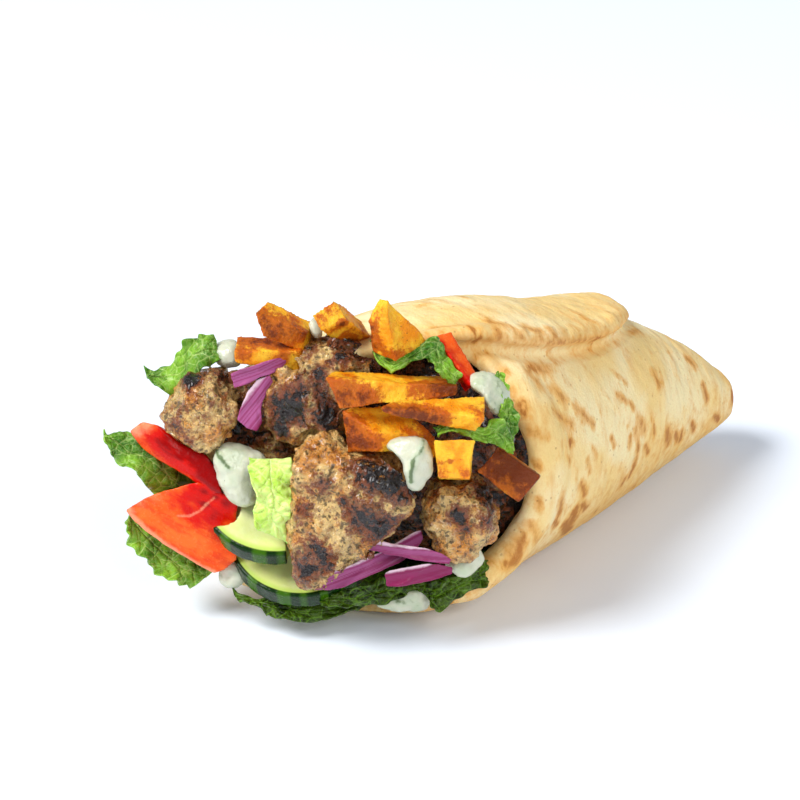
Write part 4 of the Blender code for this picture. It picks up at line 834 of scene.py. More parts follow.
def bread_finish(looks):
    """Pale baked dough with golden and brown toasted marks, and painted shade along the flap's
    edge and on its lower part.
    """
    finish = Finish("baked_bread", {"Specular IOR Level": 0.2, "Subsurface Weight": 0.15,
                                    "Subsurface Radius": (1.0, 0.5, 0.25),
                                    "Subsurface Scale": 0.0015})
    broad = finish.noise(26.0, 2.0)
    streaks = finish.noise(4.5, 4.0, stretch=(1.0, 2.6, 2.6))
    ragged = finish.noise(1.9, 4.0, harsh=0.7, stretch=(1.0, 1.8, 1.8))
    soft = finish.noise(7.0, 3.0)
    grain = finish.noise(0.5, 2.0)
    ridge = finish.painted("ridge")
    base = finish.blend(broad.rise(0.38, 0.62), looks.dough, looks.warm_dough)
    base = finish.blend(streaks.rise(0.5, 0.72) * 0.4, base, looks.golden)
    stray = streaks.rise(0.55, 0.72) * soft.rise(0.48, 0.62) * 0.75
    # The dough turns golden towards the floor, partly as a baked rim and partly as painted shade
    # on the bread's lower part
    low = finish.node("ShaderNodeSeparateXYZ", {}, [finish.place()], "Z")
    # This value carries the toasted marks and the painted shade along the flap's ledge
    marks = finish.painted("toast_and_ledge_shade") * 0.9 + stray + (ragged - 0.5) * 1.3 + ridge * 0.2
    marks = marks + low.rise(0.042, 0.01) * 0.5
    base = finish.blend(marks.rise(0.1, 0.8) * 0.75, base, looks.golden)
    base = finish.blend(marks.rise(0.62, 1.15) * 0.8, base, looks.toasted)
    base = finish.blend(ragged.rise(0.5, 0.75) * 0.3, base, looks.golden)
    base = finish.blend(grain.rise(0.35, 0.7) * 0.14, base, looks.golden)
    # Painted shade: a dark line in the groove under the flap's free edge
    flap_shade = finish.painted("flap_shade") + (ragged - 0.5) * 0.4
    base = finish.blend(flap_shade.rise(0.35, 0.85) * 0.75, base, looks.toasted)
    pores = finish.specks(2.4, 0.16, 0.55)
    base = finish.blend(pores * 0.35, base, looks.toasted)
    blisters = finish.cells(6.0, stretch=(1.0, 1.5, 1.5)).rise(0.5, 0.1)
    height = soft * 0.5 + ragged * 0.25 + grain * 0.1 + streaks * 0.35 + blisters * 0.3
    height = height + pores * -0.15
    return finish.done(base, grain * 0.15 + 0.6, height)


def chicken_finish(looks):
    """Grilled meat: tan with golden crust, dark char, herb flecks and an oily gloss, with painted
    shade in its hollows and painted highlights on its raised grain.
    """
    finish = Finish("grilled_chicken", {"Specular IOR Level": 0.4, "Coat Weight": 0.4,
                                        "Coat Roughness": 0.12,
                                        "Subsurface Weight": 0.1,
                                        "Subsurface Radius": (1.0, 0.4, 0.2),
                                        "Subsurface Scale": 0.0015})
    patches = finish.noise(7.0, 4.0)
    fine = finish.noise(1.8, 5.0, harsh=0.6)
    grain = finish.noise(0.5, 3.0)
    fibre = finish.noise(1.6, 3.0, stretch=(4.0, 1.0, 1.0), turn=(0.4, 0.5, 0.9))
    ridge = finish.painted("ridge")
    base = finish.blend(patches.rise(0.42, 0.6) * 0.9, looks.meat, looks.golden)
    base = finish.blend(fibre.rise(0.46, 0.64) * 0.5, base, looks.brown)
    # Painted shade: the hollows of the fine relief darken to the herb colour
    base = finish.blend(fine.rise(0.47, 0.37) * 0.8, base, looks.herb)
    # Painted highlight: pale spots on the raised parts of the fine relief
    base = finish.blend(fine.rise(0.56, 0.66) * 0.55, base, looks.pale)
    # Painted shade: the hollows between the ridges turn brown
    base = finish.blend(ridge.rise(-0.05, -0.6) * 0.65, base, looks.brown)
    burnt = finish.painted("brown") * 1.15 + (fine - 0.5) * 1.7 + (patches - 0.5) * 1.3
    # Painted shade: the char reaches further into the hollows
    burnt = burnt + ridge * -0.3
    base = finish.blend(burnt.rise(0.18, 0.5) * 0.9, base, looks.brown)
    base = finish.blend(burnt.rise(0.52, 0.8), base, looks.char)
    base = finish.blend(fine.rise(0.62, 0.75) * 0.7, base, looks.golden)
    herbs = finish.specks(1.6, 0.3, 0.62)
    base = finish.blend(herbs * 0.8, base, looks.herb)
    base = finish.blend(finish.specks(0.9, 0.25, 0.8) * 0.8, base, looks.char)
    height = fine * 1.3 + grain * 0.6 + fibre * 1.4 + herbs * 0.2
    wet = fine.rise(0.44, 0.56)
    return finish.done(base, 0.42 - wet * 0.36, height)


def fry_finish(looks):
    """Fried potato: golden faces that brown at the edges and in patches."""
    finish = Finish("fried_potato", {"Specular IOR Level": 0.28,
                                     "Subsurface Weight": 0.2,
                                     "Subsurface Radius": (1.0, 0.5, 0.15),
                                     "Subsurface Scale": 0.002})
    patches = finish.noise(5.0, 3.0)
    fine = finish.noise(1.1, 5.0, harsh=0.7)
    grain = finish.noise(0.4, 3.0)
    ridge = finish.painted("ridge")
    base = finish.blend(patches.rise(0.38, 0.62), looks.gold, looks.amber)
    frost = ridge * 1.6 + (fine - 0.5) * 2.4 + (patches - 0.5) * 0.8
    base = finish.blend(frost.rise(0.3, 0.75) * 0.8, base, looks.crust)
    burnt = finish.painted("brown") * 1.25 + (fine - 0.5) * 1.5 + (patches - 0.5) * 0.9
    base = finish.blend(burnt.rise(0.2, 0.65) * 0.9, base, looks.crust)
    base = finish.blend(burnt.rise(0.75, 1.3) * 0.9, base, looks.dark_crust)
    base = finish.blend(finish.specks(1.3, 0.2, 0.8) * 0.6, base, looks.dark_crust)
    height = fine * 0.5 + grain * 0.2 + patches * 0.3
    return finish.done(base, grain * 0.5 + 0.1, height)


def onion_finish(looks):
    """Red onion: purple skin faces with fine lines, and white flesh along one edge."""
    finish = Finish("red_onion", {"Specular IOR Level": 0.25,
                                  "Subsurface Weight": 0.25,
                                  "Subsurface Radius": (1.0, 0.5, 0.8),
                                  "Subsurface Scale": 0.0015})
    across = finish.painted("across")
    lines = finish.painted("lines")
    fine = finish.noise(1.2, 3.0)
    base = finish.blend(lines.rise(0.35, 0.65) * 0.6, looks.purple, looks.magenta)
    vivid = finish.painted("vivid")
    base = finish.blend(vivid * 0.8, base, looks.magenta)
    edge = across + (fine - 0.5) * 0.25
    base = finish.blend(edge.rise(0.6, 0.9) * 0.9, base, looks.flesh)
    base = finish.blend(edge.rise(-0.7, -0.95) * 0.7, base, looks.magenta)
    return finish.done(base, fine * 0.15 + 0.25, lines * 0.08 + fine * 0.06)


def tomato_finish(looks):
    """Tomato: orange-red flesh, deep red by the seeds and paler at the skin."""
    finish = Finish("tomato_flesh", {"Specular IOR Level": 0.16,
                                     "Subsurface Weight": 0.15,
                                     "Subsurface Radius": (1.0, 0.25, 0.12),
                                     "Subsurface Scale": 0.0025})
    patches = finish.noise(7.0, 3.0)
    fine = finish.noise(0.9, 4.0)
    drawn = finish.noise(3.0, 3.0, stretch=(3.0, 1.5, 1.0), turn=(0.0, 0.5, -0.7))
    deep = finish.painted("deep") + (drawn - 0.5) * 1.1
    pale = finish.painted("pale") + (fine - 0.5) * 0.4
    base = finish.blend(patches.rise(0.35, 0.65) * 0.6, looks.orange, looks.salmon)
    base = finish.blend(drawn.rise(0.46, 0.62) * 0.5, base, looks.red)
    base = finish.blend(fine.rise(0.52, 0.68) * 0.35, base, looks.salmon)
    base = finish.blend(deep.rise(0.15, 0.7), base, looks.red)
    base = finish.blend(deep.rise(0.75, 1.1), base, looks.deep_red)
    base = finish.blend(pale.rise(0.3, 0.9) * 0.6, base, looks.pale)
    return finish.done(base, fine * 0.2 + 0.16, drawn * 0.5 + fine * 0.12 + deep * -0.2)


def cucumber_finish(looks):
    """Cucumber: pale flesh with seeds in the middle and a dark streaked rind."""
    finish = Finish("cucumber", {"Specular IOR Level": 0.16,
                                 "Subsurface Weight": 0.3,
                                 "Subsurface Radius": (0.6, 1.0, 0.3),
                                 "Subsurface Scale": 0.003})
    radial = finish.painted("radial")
    streak = finish.painted("streak")
    fine = finish.noise(1.0, 3.0)
    soft = finish.noise(4.0, 3.0)
    base = finish.blend(radial.rise(0.35, 0.9), looks.core, looks.flesh)
    base = finish.blend(soft.rise(0.45, 0.7) * 0.35, base, looks.core)
    base = finish.blend(radial.rise(0.86, 0.93) * 0.75, base, looks.under_rind)
    rind = finish.blend(streak.rise(0.5, 0.72), looks.rind, looks.streak)
    base = finish.blend(radial.rise(0.935, 0.955), base, rind)
    return finish.done(base, fine * 0.12 + 0.2, fine * 0.06 + soft * 0.15)


def sauce_finish(looks):
    """Yoghurt sauce: wet and white, with a faint green cast and herb flecks."""
    finish = Finish("yoghurt_sauce", {"Specular IOR Level": 0.5,
                                      "Subsurface Weight": 0.5,
                                      "Subsurface Radius": (1.0, 0.9, 0.7),
                                      "Subsurface Scale": 0.002})
    soft = finish.noise(5.0, 3.0)
    fine = finish.noise(1.2, 3.0)
    base = finish.blend(soft.rise(0.45, 0.7) * 0.6, looks.white, looks.tint)
    base = finish.blend(finish.specks(3.0, 0.12, 0.7) * 0.7, base, looks.herb)
    shred = finish.painted("shred") + (fine - 0.5) * 0.7
    base = finish.blend(shred.rise(0.1, 0.5) * 0.5, base, looks.tint)
    base = finish.blend(shred.rise(0.45, 0.85) * 0.85, base, looks.herb)
    return finish.done(base, fine * 0.1 + 0.18, soft * 0.25 + fine * 0.04 + shred * 0.3)


def lettuce_finish(name, fresh, dark, vein):
    """A leaf: green with a net of pale veins and a waxy gloss."""
    finish = Finish(name, {"Specular IOR Level": 0.25,
                           "Subsurface Weight": 0.2, "Subsurface Radius": (0.4, 1.0, 0.2),
                           "Subsurface Scale": 0.001})
    patches = finish.noise(8.0, 3.0)
    fine = finish.noise(1.0, 4.0)
    net = finish.cells(3.4, "DISTANCE_TO_EDGE") + (fine - 0.5) * 0.06
    small_net = finish.cells(1.3, "DISTANCE_TO_EDGE")
    ribs = finish.painted("rib")
    base = finish.blend(patches.rise(0.35, 0.68), fresh, dark)
    base = finish.blend(small_net.rise(0.12, 0.02) * 0.14, base, vein)
    base = finish.blend(net.rise(0.06, 0.01) * 0.3, base, vein)
    base = finish.blend(ribs.rise(0.3, 0.9) * 0.6, base, vein)
    height = net.rise(0.0, 0.25) * 0.25 + ribs * -0.3 + fine * 0.05
    return finish.done(base, fine * 0.2 + 0.27, height)


class BreadLooks(bpy.types.PropertyGroup):
    voxel: length("Mesh size", 0.9, "Size of the bread's even mesh")
    dough: colour("Dough", (244, 226, 174), "Baked dough")
    warm_dough: colour("Warm dough", (240, 208, 138), "Warmer dough")
    golden: colour("Golden", (222, 158, 70), "Lightly toasted dough")
    toasted: colour("Toasted", (160, 88, 28), "Well toasted marks")


class ChickenLooks(bpy.types.PropertyGroup):
    voxel: length("Mesh size", 0.48, "Size of the chicken's even mesh")
    meat: colour("Meat", (216, 180, 112), "Cooked meat")
    # Painted highlight on the raised parts of the meat's fine relief
    pale: colour("Pale", (244, 218, 164), "Pale fibres of the meat")
    golden: colour("Golden", (206, 132, 44), "Golden crust")
    brown: colour("Brown", (116, 48, 10), "Browned crust")
    char: colour("Char", (18, 5, 2), "Charred crust")
    # Herb also darkens the hollows of the chicken's fine relief as painted shade
    herb: colour("Herb", (66, 50, 14), "Dried herbs")


class FryLooks(bpy.types.PropertyGroup):
    voxel: length("Mesh size", 0.42, "Size of the fries' even mesh")
    gold: colour("Gold", (253, 192, 44), "Fried face")
    amber: colour("Amber", (242, 146, 8), "Darker fried face")
    crust: colour("Crust", (186, 82, 3), "Browned edge")
    dark_crust: colour("Dark crust", (104, 38, 0), "Dark edge or skin")


class OnionLooks(bpy.types.PropertyGroup):
    voxel: length("Mesh size", 0.28, "Size of the onion strips' even mesh")
    purple: colour("Purple", (164, 84, 132), "Onion face")
    magenta: colour("Magenta", (128, 14, 70), "Coloured skin")
    flesh: colour("Flesh", (224, 196, 206), "White flesh")


class TomatoLooks(bpy.types.PropertyGroup):
    voxel: length("Mesh size", 0.5, "Size of the tomato's even mesh")
    orange: colour("Orange", (238, 76, 14), "Outer flesh")
    salmon: colour("Salmon", (244, 118, 44), "Paler flesh")
    red: colour("Red", (200, 14, 4), "Inner flesh")
    deep_red: colour("Deep red", (140, 2, 2), "Flesh by the seeds")
    pale: colour("Pale", (250, 168, 130), "Edge of the skin")


class CucumberLooks(bpy.types.PropertyGroup):
    voxel: length("Mesh size", 0.45, "Size of the cucumber's even mesh")
    core: colour("Core", (218, 222, 172), "Middle of the slice")
    flesh: colour("Flesh", (208, 216, 134), "Flesh of the slice")
    under_rind: colour("Under the rind", (176, 202, 84), "Flesh by the rind")
    rind: colour("Rind", (10, 40, 1), "Rind")
    streak: colour("Streak", (52, 92, 4), "Lighter streak on the rind")


class SauceLooks(bpy.types.PropertyGroup):
    voxel: length("Mesh size", 0.45, "Size of the sauce's even mesh")
    white: colour("White", (202, 203, 180), "Yoghurt")
    tint: colour("Tint", (180, 194, 160), "Greenish yoghurt")
    herb: colour("Herb", (70, 96, 40), "Herbs in the sauce")


class LettuceLooks(bpy.types.PropertyGroup):
    thickness: length("Thickness", 0.55, "Thickness of a leaf")
    fresh: colour("Fresh", (124, 172, 42), "Green of the leaves")
    dark: colour("Dark", (58, 108, 18), "Darker green of the leaves")
    vein: colour("Vein", (196, 216, 128), "Veins of the leaves")
    pale_fresh: colour("Pale green", (210, 236, 132), "Green of the pale leaf")
    pale_dark: colour("Deeper pale green", (176, 216, 74), "Deeper green of the pale leaf")
    pale_vein: colour("Pale vein", (228, 240, 168), "Veins of the pale leaf")
    low_fresh: colour("Low green", (66, 90, 8), "Green of the leaves underneath")
    low_dark: colour("Deep green", (22, 38, 2), "Deep green of the leaves underneath")


class StageLooks(bpy.types.PropertyGroup):
    floor: colour("Floor", (238, 245, 254), "Floor of the stage")
    sky_tone: colour("Sky colour", (238, 243, 255), "Pale surroundings")
    sky: strength("Sky", 0.35, "Strength of the pale surroundings")
    key: strength("Key light", 212.0, "Power of the light on the left, in watts")
    fill: strength("Fill light", 76.0, "Power of the light beside the camera, in watts")


class AddBread(bpy.types.Operator):
    """Dress the rolled bread"""

    bl_idname = "pita.add_bread"
    bl_label = "Bread"

    def execute(self, context):
        looks = context.scene.pita_bread
        piece = work_up("pita", looks.voxel, passes=4, reliefs=RELIEFS["bread"], rounded=1)
        slide(piece, FLAP_FOOT, FLAP_SLIDES)
        foot = [Vector(place) + SLIDE_WAY * move for place, move in zip(FLAP_FOOT, FLAP_SLIDES)]
        over = [place + FLAP_RISE for place in foot]
        push_out(piece, chained(foot, *GROOVE) + chained(over, *LEDGE)
                 + chained(LIP_LINE, *ROLLED_LIP))
        points = points_of(piece)
        points[:, 2] = np.maximum(points[:, 2], 0.0)
        piece.data.vertices.foreach_set("co", (points * MM).ravel())
        marks = [(*ends, TOAST_SPREAD * reach, 1.0) for *ends, reach in TOAST_MARKS]
        # Painted shade along the flap's ledge joins the toasted marks
        marks += chained(over[FREE_EDGE], *LEDGE_SHADE)
        paint(piece, "toast_and_ledge_shade", cover_of(points, marks))
        # Painted shade in the groove under the flap's free edge
        paint(piece, "flap_shade", cover_of(points, chained(foot[FREE_EDGE], *GROOVE_SHADE)))
        paint_ridges(piece, RIDGE_PASSES["bread"])
        settle(piece, bread_finish(looks), "pita")
        return {"FINISHED"}


class AddChicken(bpy.types.Operator):
    """Dress the chunks of grilled chicken"""

    bl_idname = "pita.add_chicken"
    bl_label = "Chicken"

    def execute(self, context):
        looks = context.scene.pita_chicken
        finish = chicken_finish(looks)
        for node in CHICKEN_NODES:
            hidden = node == "chicken_filling"
            voxel = looks.voxel * (FILLING_COARSENESS if hidden else 1.0)
            piece = work_up(node, voxel, passes=3, reliefs=RELIEFS["chicken"])
            spread = CHAR_SPREADS.get(node, CHAR_SPREAD)
            self.brown(piece, [(*place, spread * reach, force)
                               for *place, reach, force in BROWN_MARKS.get(node, SHADED_ALL_OVER)])
            settle(piece, finish, node)
        for name, shape in SLABS.items():
            if name.startswith("chicken"):
                piece = cut_slab(name, looks.voxel * DARK_COARSENESS, *shape, rounded=1,
                                 passes=2)
                roughen(piece, RELIEFS["dark_chicken"])
                self.brown(piece, SHADED_ALL_OVER)
                settle(piece, finish, name)
        return {"FINISHED"}

    def brown(self, piece, marks):
        """Store where a piece of chicken is browned, all over as painted shade for pieces in
        shade, and where it stands out.
        """
        paint(piece, "brown", cover_of(points_of(piece), marks))
        paint_ridges(piece, RIDGE_PASSES["chicken"])


def cut_stick(node, voxel, front, back, uneven):
    """A stick with crisp edges between two ends of four corners each."""
    bpy.ops.object.select_all(action="DESELECT")
    bpy.ops.mesh.primitive_cube_add(size=1.0)
    piece = bpy.context.object
    piece.name = node + "_dressed"
    bpy.ops.object.mode_set(mode="EDIT")
    bpy.ops.mesh.subdivide(number_cuts=STICK_CUTS)
    bpy.ops.object.mode_set(mode="OBJECT")
    corners = [mouth_point(*corner) for corner in (*front, *back)]
    for vertex in piece.data.vertices:
        depth, rise, along = (value + 0.5 for value in vertex.co)
        shares = ((1.0 - depth) * (1.0 - rise), (1.0 - depth) * rise, depth * rise,
                  depth * (1.0 - rise))
        place = Vector()
        for corner, share in zip(corners, shares):
            place += corner * share * (1.0 - along)
        for corner, share in zip(corners[4:], shares):
            place += corner * share * along
        vertex.co = (place + noise.noise_vector(place / STICK_UNEVENNESS) * uneven) * MM
    even_out(piece, voxel, 1)
    return piece


def cut_slab(node, voxel, depth, dome, outline, rounded, passes):
    """A slab that lies behind an outline and bulges to the front by its dome."""
    count = len(outline)
    bpy.ops.object.select_all(action="DESELECT")
    bpy.ops.mesh.primitive_cylinder_add(vertices=count, radius=1.0, depth=2.0,
                                        end_fill_type="TRIFAN")
    piece = bpy.context.object
    piece.name = node + "_dressed"
    rim = [mouth_point(*corner) for corner in outline]
    middle = sum(rim, Vector()) / count
    if rounded:
        rim = [middle + (corner - middle) * ROUNDED_GROWTH for corner in rim]
    behind = (mouth_point(*-IN_FRONT) - MOUTH_ORIGIN) * depth
    for vertex in piece.data.vertices:
        front = vertex.co.z > 0.0
        if vertex.co.xy.length < 0.5:
            place = middle + MOUTH_OUT * (dome if front else 0.0)
        else:
            turn = math.atan2(vertex.co.x, vertex.co.y) / math.tau
            place = rim[round(turn * count) % count]
        if not front:
            place = middle + (place - middle) * SLAB_TAPER + behind
        vertex.co = place * MM
    if rounded:
        round_off(piece, rounded)
    even_out(piece, voxel, passes)
    return piece


class AddFries(bpy.types.Operator):
    """Dress the fries"""

    bl_idname = "pita.add_fries"
    bl_label = "Fries"

    def execute(self, context):
        looks = context.scene.pita_fries
        finish = fry_finish(looks)
        for node, marks in BROWN_MARKS.items():
            if node not in STICKS:
                continue
            piece = cut_stick(node, looks.voxel, *STICKS[node], uneven=0.6)
            roughen(piece, RELIEFS["fries"])
            paint(piece, "brown", cover_of(points_of(piece), marks))
            paint_ridges(piece, RIDGE_PASSES["fries"])
            settle(piece, finish, node)
        return {"FINISHED"}


class AddOnions(bpy.types.Operator):
    """Dress the onion strips"""

    bl_idname = "pita.add_onions"
    bl_label = "Onion strips"

    def execute(self, context):
        looks = context.scene.pita_onions
        finish = onion_finish(looks)
        for node, (axis, width, vivid) in ONION_RINGS.items():
            piece = cut_slab(node, looks.voxel, *SLABS[node], rounded=0, passes=1)
            roughen(piece, RELIEFS["onions"])
            points = points_of(piece)
            across = points @ np.array(axis)
            across -= (across.max() + across.min()) / 2.0
            paint(piece, "across", across * 2.0 / width)
            paint(piece, "lines", [noise.noise(Vector((3.1, height * 3.0, point[0] / 22.0)))
                                   + 0.5 for height, point in zip(across, points)])
            paint(piece, "vivid", np.full(len(points), vivid))
            settle(piece, finish, node)
        return {"FINISHED"}


class AddTomatoes(bpy.types.Operator):
    """Dress the tomato wedges"""

    bl_idname = "pita.add_tomatoes"
    bl_label = "Tomato"

    def execute(self, context):
        looks = context.scene.pita_tomatoes
        finish = tomato_finish(looks)
        for node, marks in TOMATO_DEPTHS.items():
            if node in SLABS:
                piece = cut_slab(node, looks.voxel, *SLABS[node], rounded=0, passes=2)
            else:
                piece = cut_stick(node, looks.voxel, *STICKS[node], uneven=0.2)
            roughen(piece, RELIEFS["tomatoes"])
            points = points_of(piece)
            paint(piece, "deep", cover_of(points, marks) + TOMATO_RIPENESS.get(node, 0.0))
            paint(piece, "pale", cover_of(points, TOMATO_PALE[node]))
            settle(piece, finish, node)
        return {"FINISHED"}


class AddCucumbers(bpy.types.Operator):
    """Dress the cucumber slices"""

    bl_idname = "pita.add_cucumbers"
    bl_label = "Cucumber"

    def execute(self, context):
        looks = context.scene.pita_cucumbers
        finish = cucumber_finish(looks)
        for node, (middle, axis, side, radius) in CUCUMBER_SLICES.items():
            piece = work_up(node, looks.voxel, passes=2, reliefs=RELIEFS["cucumbers"])
            away = points_of(piece) - np.array(middle)
            axis = Vector(axis).normalized()
            side = Vector(side).normalized()
            right = away @ np.array(side)
            up = away @ np.array(axis.cross(side))
            paint(piece, "radial", np.hypot(right, up) / radius)
            paint(piece, "streak", [noise.noise(Vector((turn * 5.0, 0.4, 2.0))) + 0.5
                                    for turn in np.arctan2(up, right)])
            settle(piece, finish, node)
        return {"FINISHED"}


class AddSauce(bpy.types.Operator):
    """Dress the spoonfuls of sauce"""

    bl_idname = "pita.add_sauce"
    bl_label = "Sauce"

    def execute(self, context):
        looks = context.scene.pita_sauce
        finish = sauce_finish(looks)
        for name, shape in SLABS.items():
            if name.startswith("sauce"):
                piece = cut_slab(name, looks.voxel, *shape, rounded=2, passes=4)
                roughen(piece, RELIEFS["sauce"])
                paint(piece, "shred", cover_of(points_of(piece), SAUCE_SHREDS))
                settle(piece, finish, name)
        return {"FINISHED"}


def ruffle_of(share, offset, ruffle, waves):
    """How far a leaf's surface rises at a share of its length and an offset from its rib."""
    edge = abs(offset)
    side = SIDES_APART if offset > 0.0 else 0.0
    rise = ruffle * offset ** 2 * math.sin(math.tau * waves * share + side)
    frill = max(edge - FRILL_START, 0.0) / (1.0 - FRILL_START)
    step = math.tau * waves * FRILL_WAVES * share + side
    return rise + 0.7 * ruffle * frill ** 2 * math.sin(step)


def rib_of(share, offset, seed):
    """How strongly a rib of the leaf runs at a place on it."""
    middle = math.exp(-((offset / MIDDLE_RIB) ** 2)) * (1.0 - 0.5 * share)
    bend = 0.35 * noise.noise(Vector((share * 3.0, offset * 2.0, seed)))
    row = share * SIDE_RIBS - abs(offset) * RIB_LEAN + bend + (0.4 if offset > 0.0 else 0.0)
    side = math.exp(-(((row - round(row)) / SIDE_RIB) ** 2)) * (1.0 - abs(offset)) ** 0.4
    return max(middle, 0.8 * side)


def drawn_line(places):
    """Places for the rows of a leaf, along a smooth line through given places."""
    knots = [Vector(place) for place in places]
    knots = [knots[0] * 2.0 - knots[1], *knots, knots[-1] * 2.0 - knots[-2]]
    line = []
    for row in range(LEAF_ROWS + 1):
        share = row / LEAF_ROWS * (len(places) - 1)
        index = min(int(share), len(places) - 2)
        part = share - index
        first, second, third, fourth = knots[index:index + 4]
        line.append(second + ((third - first) * part
                              + (first * 2.0 - second * 5.0 + third * 4.0 - fourth) * part ** 2
                              + (second * 3.0 - first - third * 3.0 + fourth) * part ** 3) / 2.0)
    return line


def grow_leaf(node, looks, ruffle, waves, ragged, upper, lower):
    """A fine leaf grown between two edges, with ruffles, ribs and ragged margins."""
    bpy.ops.object.select_all(action="DESELECT")
    bpy.ops.mesh.primitive_grid_add(x_subdivisions=LEAF_ROWS, y_subdivisions=LEAF_COLUMNS,
                                    size=1.0)
    piece = bpy.context.object
    piece.name = node + "_dressed"
    seed = ruffle + upper[0][0]
    upper = drawn_line(upper)
    lower = drawn_line(lower)
    ribs = []
    for vertex in piece.data.vertices:
        share = min(max(vertex.co.x + 0.5, 0.0), 1.0)
        offset = min(max(vertex.co.y * 2.0, -1.0), 1.0)
        row = round(share * LEAF_ROWS)
        ahead, back = min(row + 1, LEAF_ROWS), max(row - 1, 0)
        width = upper[row] - lower[row]
        facing = width.cross(upper[ahead] + lower[ahead] - upper[back] - lower[back])
        facing.normalize()
        if facing.dot(IN_FRONT) < 0.0:
            facing.negate()
        torn = 0.6 * noise.noise(Vector((share * 17.0, 3.0 if offset > 0.0 else 7.0, seed)))
        torn += noise.noise(Vector((share * 9.0, 5.0 if offset > 0.0 else 1.0, seed)))
        reach = 0.5 * offset + 0.5 * abs(offset) ** 3 * offset * torn * ragged / max(
            width.length, 1.0)
        rib = rib_of(share, offset, seed)
        lift = ruffle_of(share, offset, ruffle, waves) - 0.3 * rib
        lift += 0.7 * noise.noise(Vector((share * 14.0, offset * 3.0, seed)))
        place = (upper[row] + lower[row]) / 2.0 + width * reach + facing * lift
        place.y = max(place.y, LEAF_FLOOR)
        vertex.co = mouth_point(*place) * MM
        ribs.append(rib)
    paint(piece, "rib", ribs)
    skin = piece.modifiers.new("thickness", "SOLIDIFY")
    skin.thickness = looks.thickness
    skin.offset = 0.0
    round_off(piece, 1)
    apply_all(piece)
    return piece


class AddLettuce(bpy.types.Operator):
    """Grow the lettuce leaves and dress the bed of lettuce"""

    bl_idname = "pita.add_lettuce"
    bl_label = "Lettuce"

    def execute(self, context):
        looks = context.scene.pita_lettuce
        finishes = {
            "green": lettuce_finish("lettuce", looks.fresh, looks.dark, looks.vein),
            "pale": lettuce_finish("pale_lettuce", looks.pale_fresh, looks.pale_dark,
                                   looks.pale_vein),
            "low": lettuce_finish("low_lettuce", looks.low_fresh, looks.low_dark, looks.fresh),
        }
        for node, (tone, *shape) in LEAVES.items():
            settle(grow_leaf(node, looks, *shape), finishes[tone], node)
        bed = work_up("lettuce_bed", BED_VOXEL, passes=3, reliefs=RELIEFS["bed"])
        paint(bed, "rib", np.zeros(len(bed.data.vertices)))
        settle(bed, finishes["low"], "lettuce_bed")
        return {"FINISHED"}


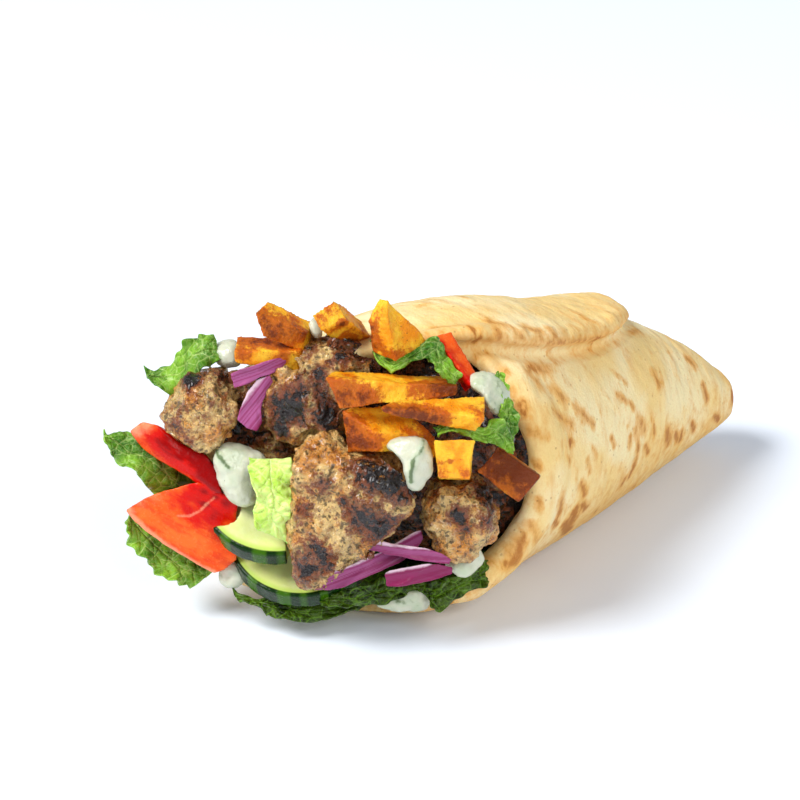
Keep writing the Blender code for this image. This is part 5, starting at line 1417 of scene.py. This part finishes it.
class AddStage(bpy.types.Operator):
    """Set the floor, the lights and the camera"""

    bl_idname = "pita.add_stage"
    bl_label = "Stage"

    def execute(self, context):
        looks = context.scene.pita_stage
        bpy.ops.object.select_all(action="DESELECT")
        bpy.ops.mesh.primitive_plane_add(size=FLOOR_SIZE)
        floor = context.object
        floor.name = "floor"
        finish = Finish("stage_floor", {"Base Color": tuple(looks.floor), "Roughness": 0.7,
                                        "Specular IOR Level": 0.2})
        floor.data.materials.append(finish.material)
        world = context.scene.world or bpy.data.worlds.new("surroundings")
        context.scene.world = world
        world.use_nodes = True
        background = world.node_tree.nodes["Background"]
        background.inputs["Color"].default_value = tuple(looks.sky_tone)
        background.inputs["Strength"].default_value = looks.sky
        target = Vector(CAMERA_TARGET)
        for name, place, size, power in (("key", KEY_PLACE, KEY_SIZE, looks.key),
                                         ("fill", FILL_PLACE, FILL_SIZE, looks.fill)):
            bpy.ops.object.light_add(type="AREA", location=target + Vector(place))
            light = context.object
            light.name = name
            light.data.size = size
            light.data.energy = power
            light.rotation_euler = Vector(place).to_track_quat("Z", "Y").to_euler()
        turn = math.radians(CAMERA_AZIMUTH)
        rise = math.radians(CAMERA_ELEVATION)
        back = Vector((math.sin(turn) * math.cos(rise), -math.cos(turn) * math.cos(rise),
                       math.sin(rise)))
        bpy.ops.object.camera_add(location=target + back * CAMERA_DISTANCE)
        camera = context.object
        camera.rotation_euler = back.to_track_quat("Z", "Y").to_euler()
        camera.data.lens = CAMERA_LENS
        camera.data.clip_start = CAMERA_CLIP
        context.scene.camera = camera
        context.scene.view_settings.view_transform = "Standard"
        return {"FINISHED"}


class PitaPanel(bpy.types.Panel):
    """Buttons for the pieces of the pita sandwich"""

    bl_idname = "VIEW3D_PT_pita"
    bl_label = "Pita sandwich"
    bl_space_type = "VIEW_3D"
    bl_region_type = "UI"
    bl_category = "Pita"

    def draw(self, context):
        for operator in OPERATORS:
            self.layout.operator(operator.bl_idname)
        for group in LOOKS:
            box = self.layout.box()
            box.label(text=group.removeprefix("pita_").title())
            looks = getattr(context.scene, group)
            for name in looks.__annotations__:
                box.prop(looks, name)


LOOKS = {
    "pita_bread": BreadLooks,
    "pita_chicken": ChickenLooks,
    "pita_fries": FryLooks,
    "pita_onions": OnionLooks,
    "pita_tomatoes": TomatoLooks,
    "pita_cucumbers": CucumberLooks,
    "pita_sauce": SauceLooks,
    "pita_lettuce": LettuceLooks,
    "pita_stage": StageLooks,
}
OPERATORS = (AddBread, AddChicken, AddFries, AddOnions, AddTomatoes, AddCucumbers, AddSauce,
             AddLettuce, AddStage)


def register():
    """Make the looks, the operators and the panel known to Blender."""
    for group in (*LOOKS.values(), *OPERATORS, PitaPanel):
        bpy.utils.register_class(group)
    for name, group in LOOKS.items():
        setattr(bpy.types.Scene, name, bpy.props.PointerProperty(type=group))


def unregister():
    """Take back what register made known."""
    for name in LOOKS:
        delattr(bpy.types.Scene, name)
    for group in (PitaPanel, *reversed(OPERATORS), *reversed(tuple(LOOKS.values()))):
        bpy.utils.unregister_class(group)


def main():
    """Build the whole scene."""
    register()
    bpy.ops.pita.add_bread()
    bpy.ops.pita.add_chicken()
    bpy.ops.pita.add_fries()
    bpy.ops.pita.add_onions()
    bpy.ops.pita.add_tomatoes()
    bpy.ops.pita.add_cucumbers()
    bpy.ops.pita.add_sauce()
    bpy.ops.pita.add_lettuce()
    bpy.ops.pita.add_stage()


if __name__ == "__main__":
    main()
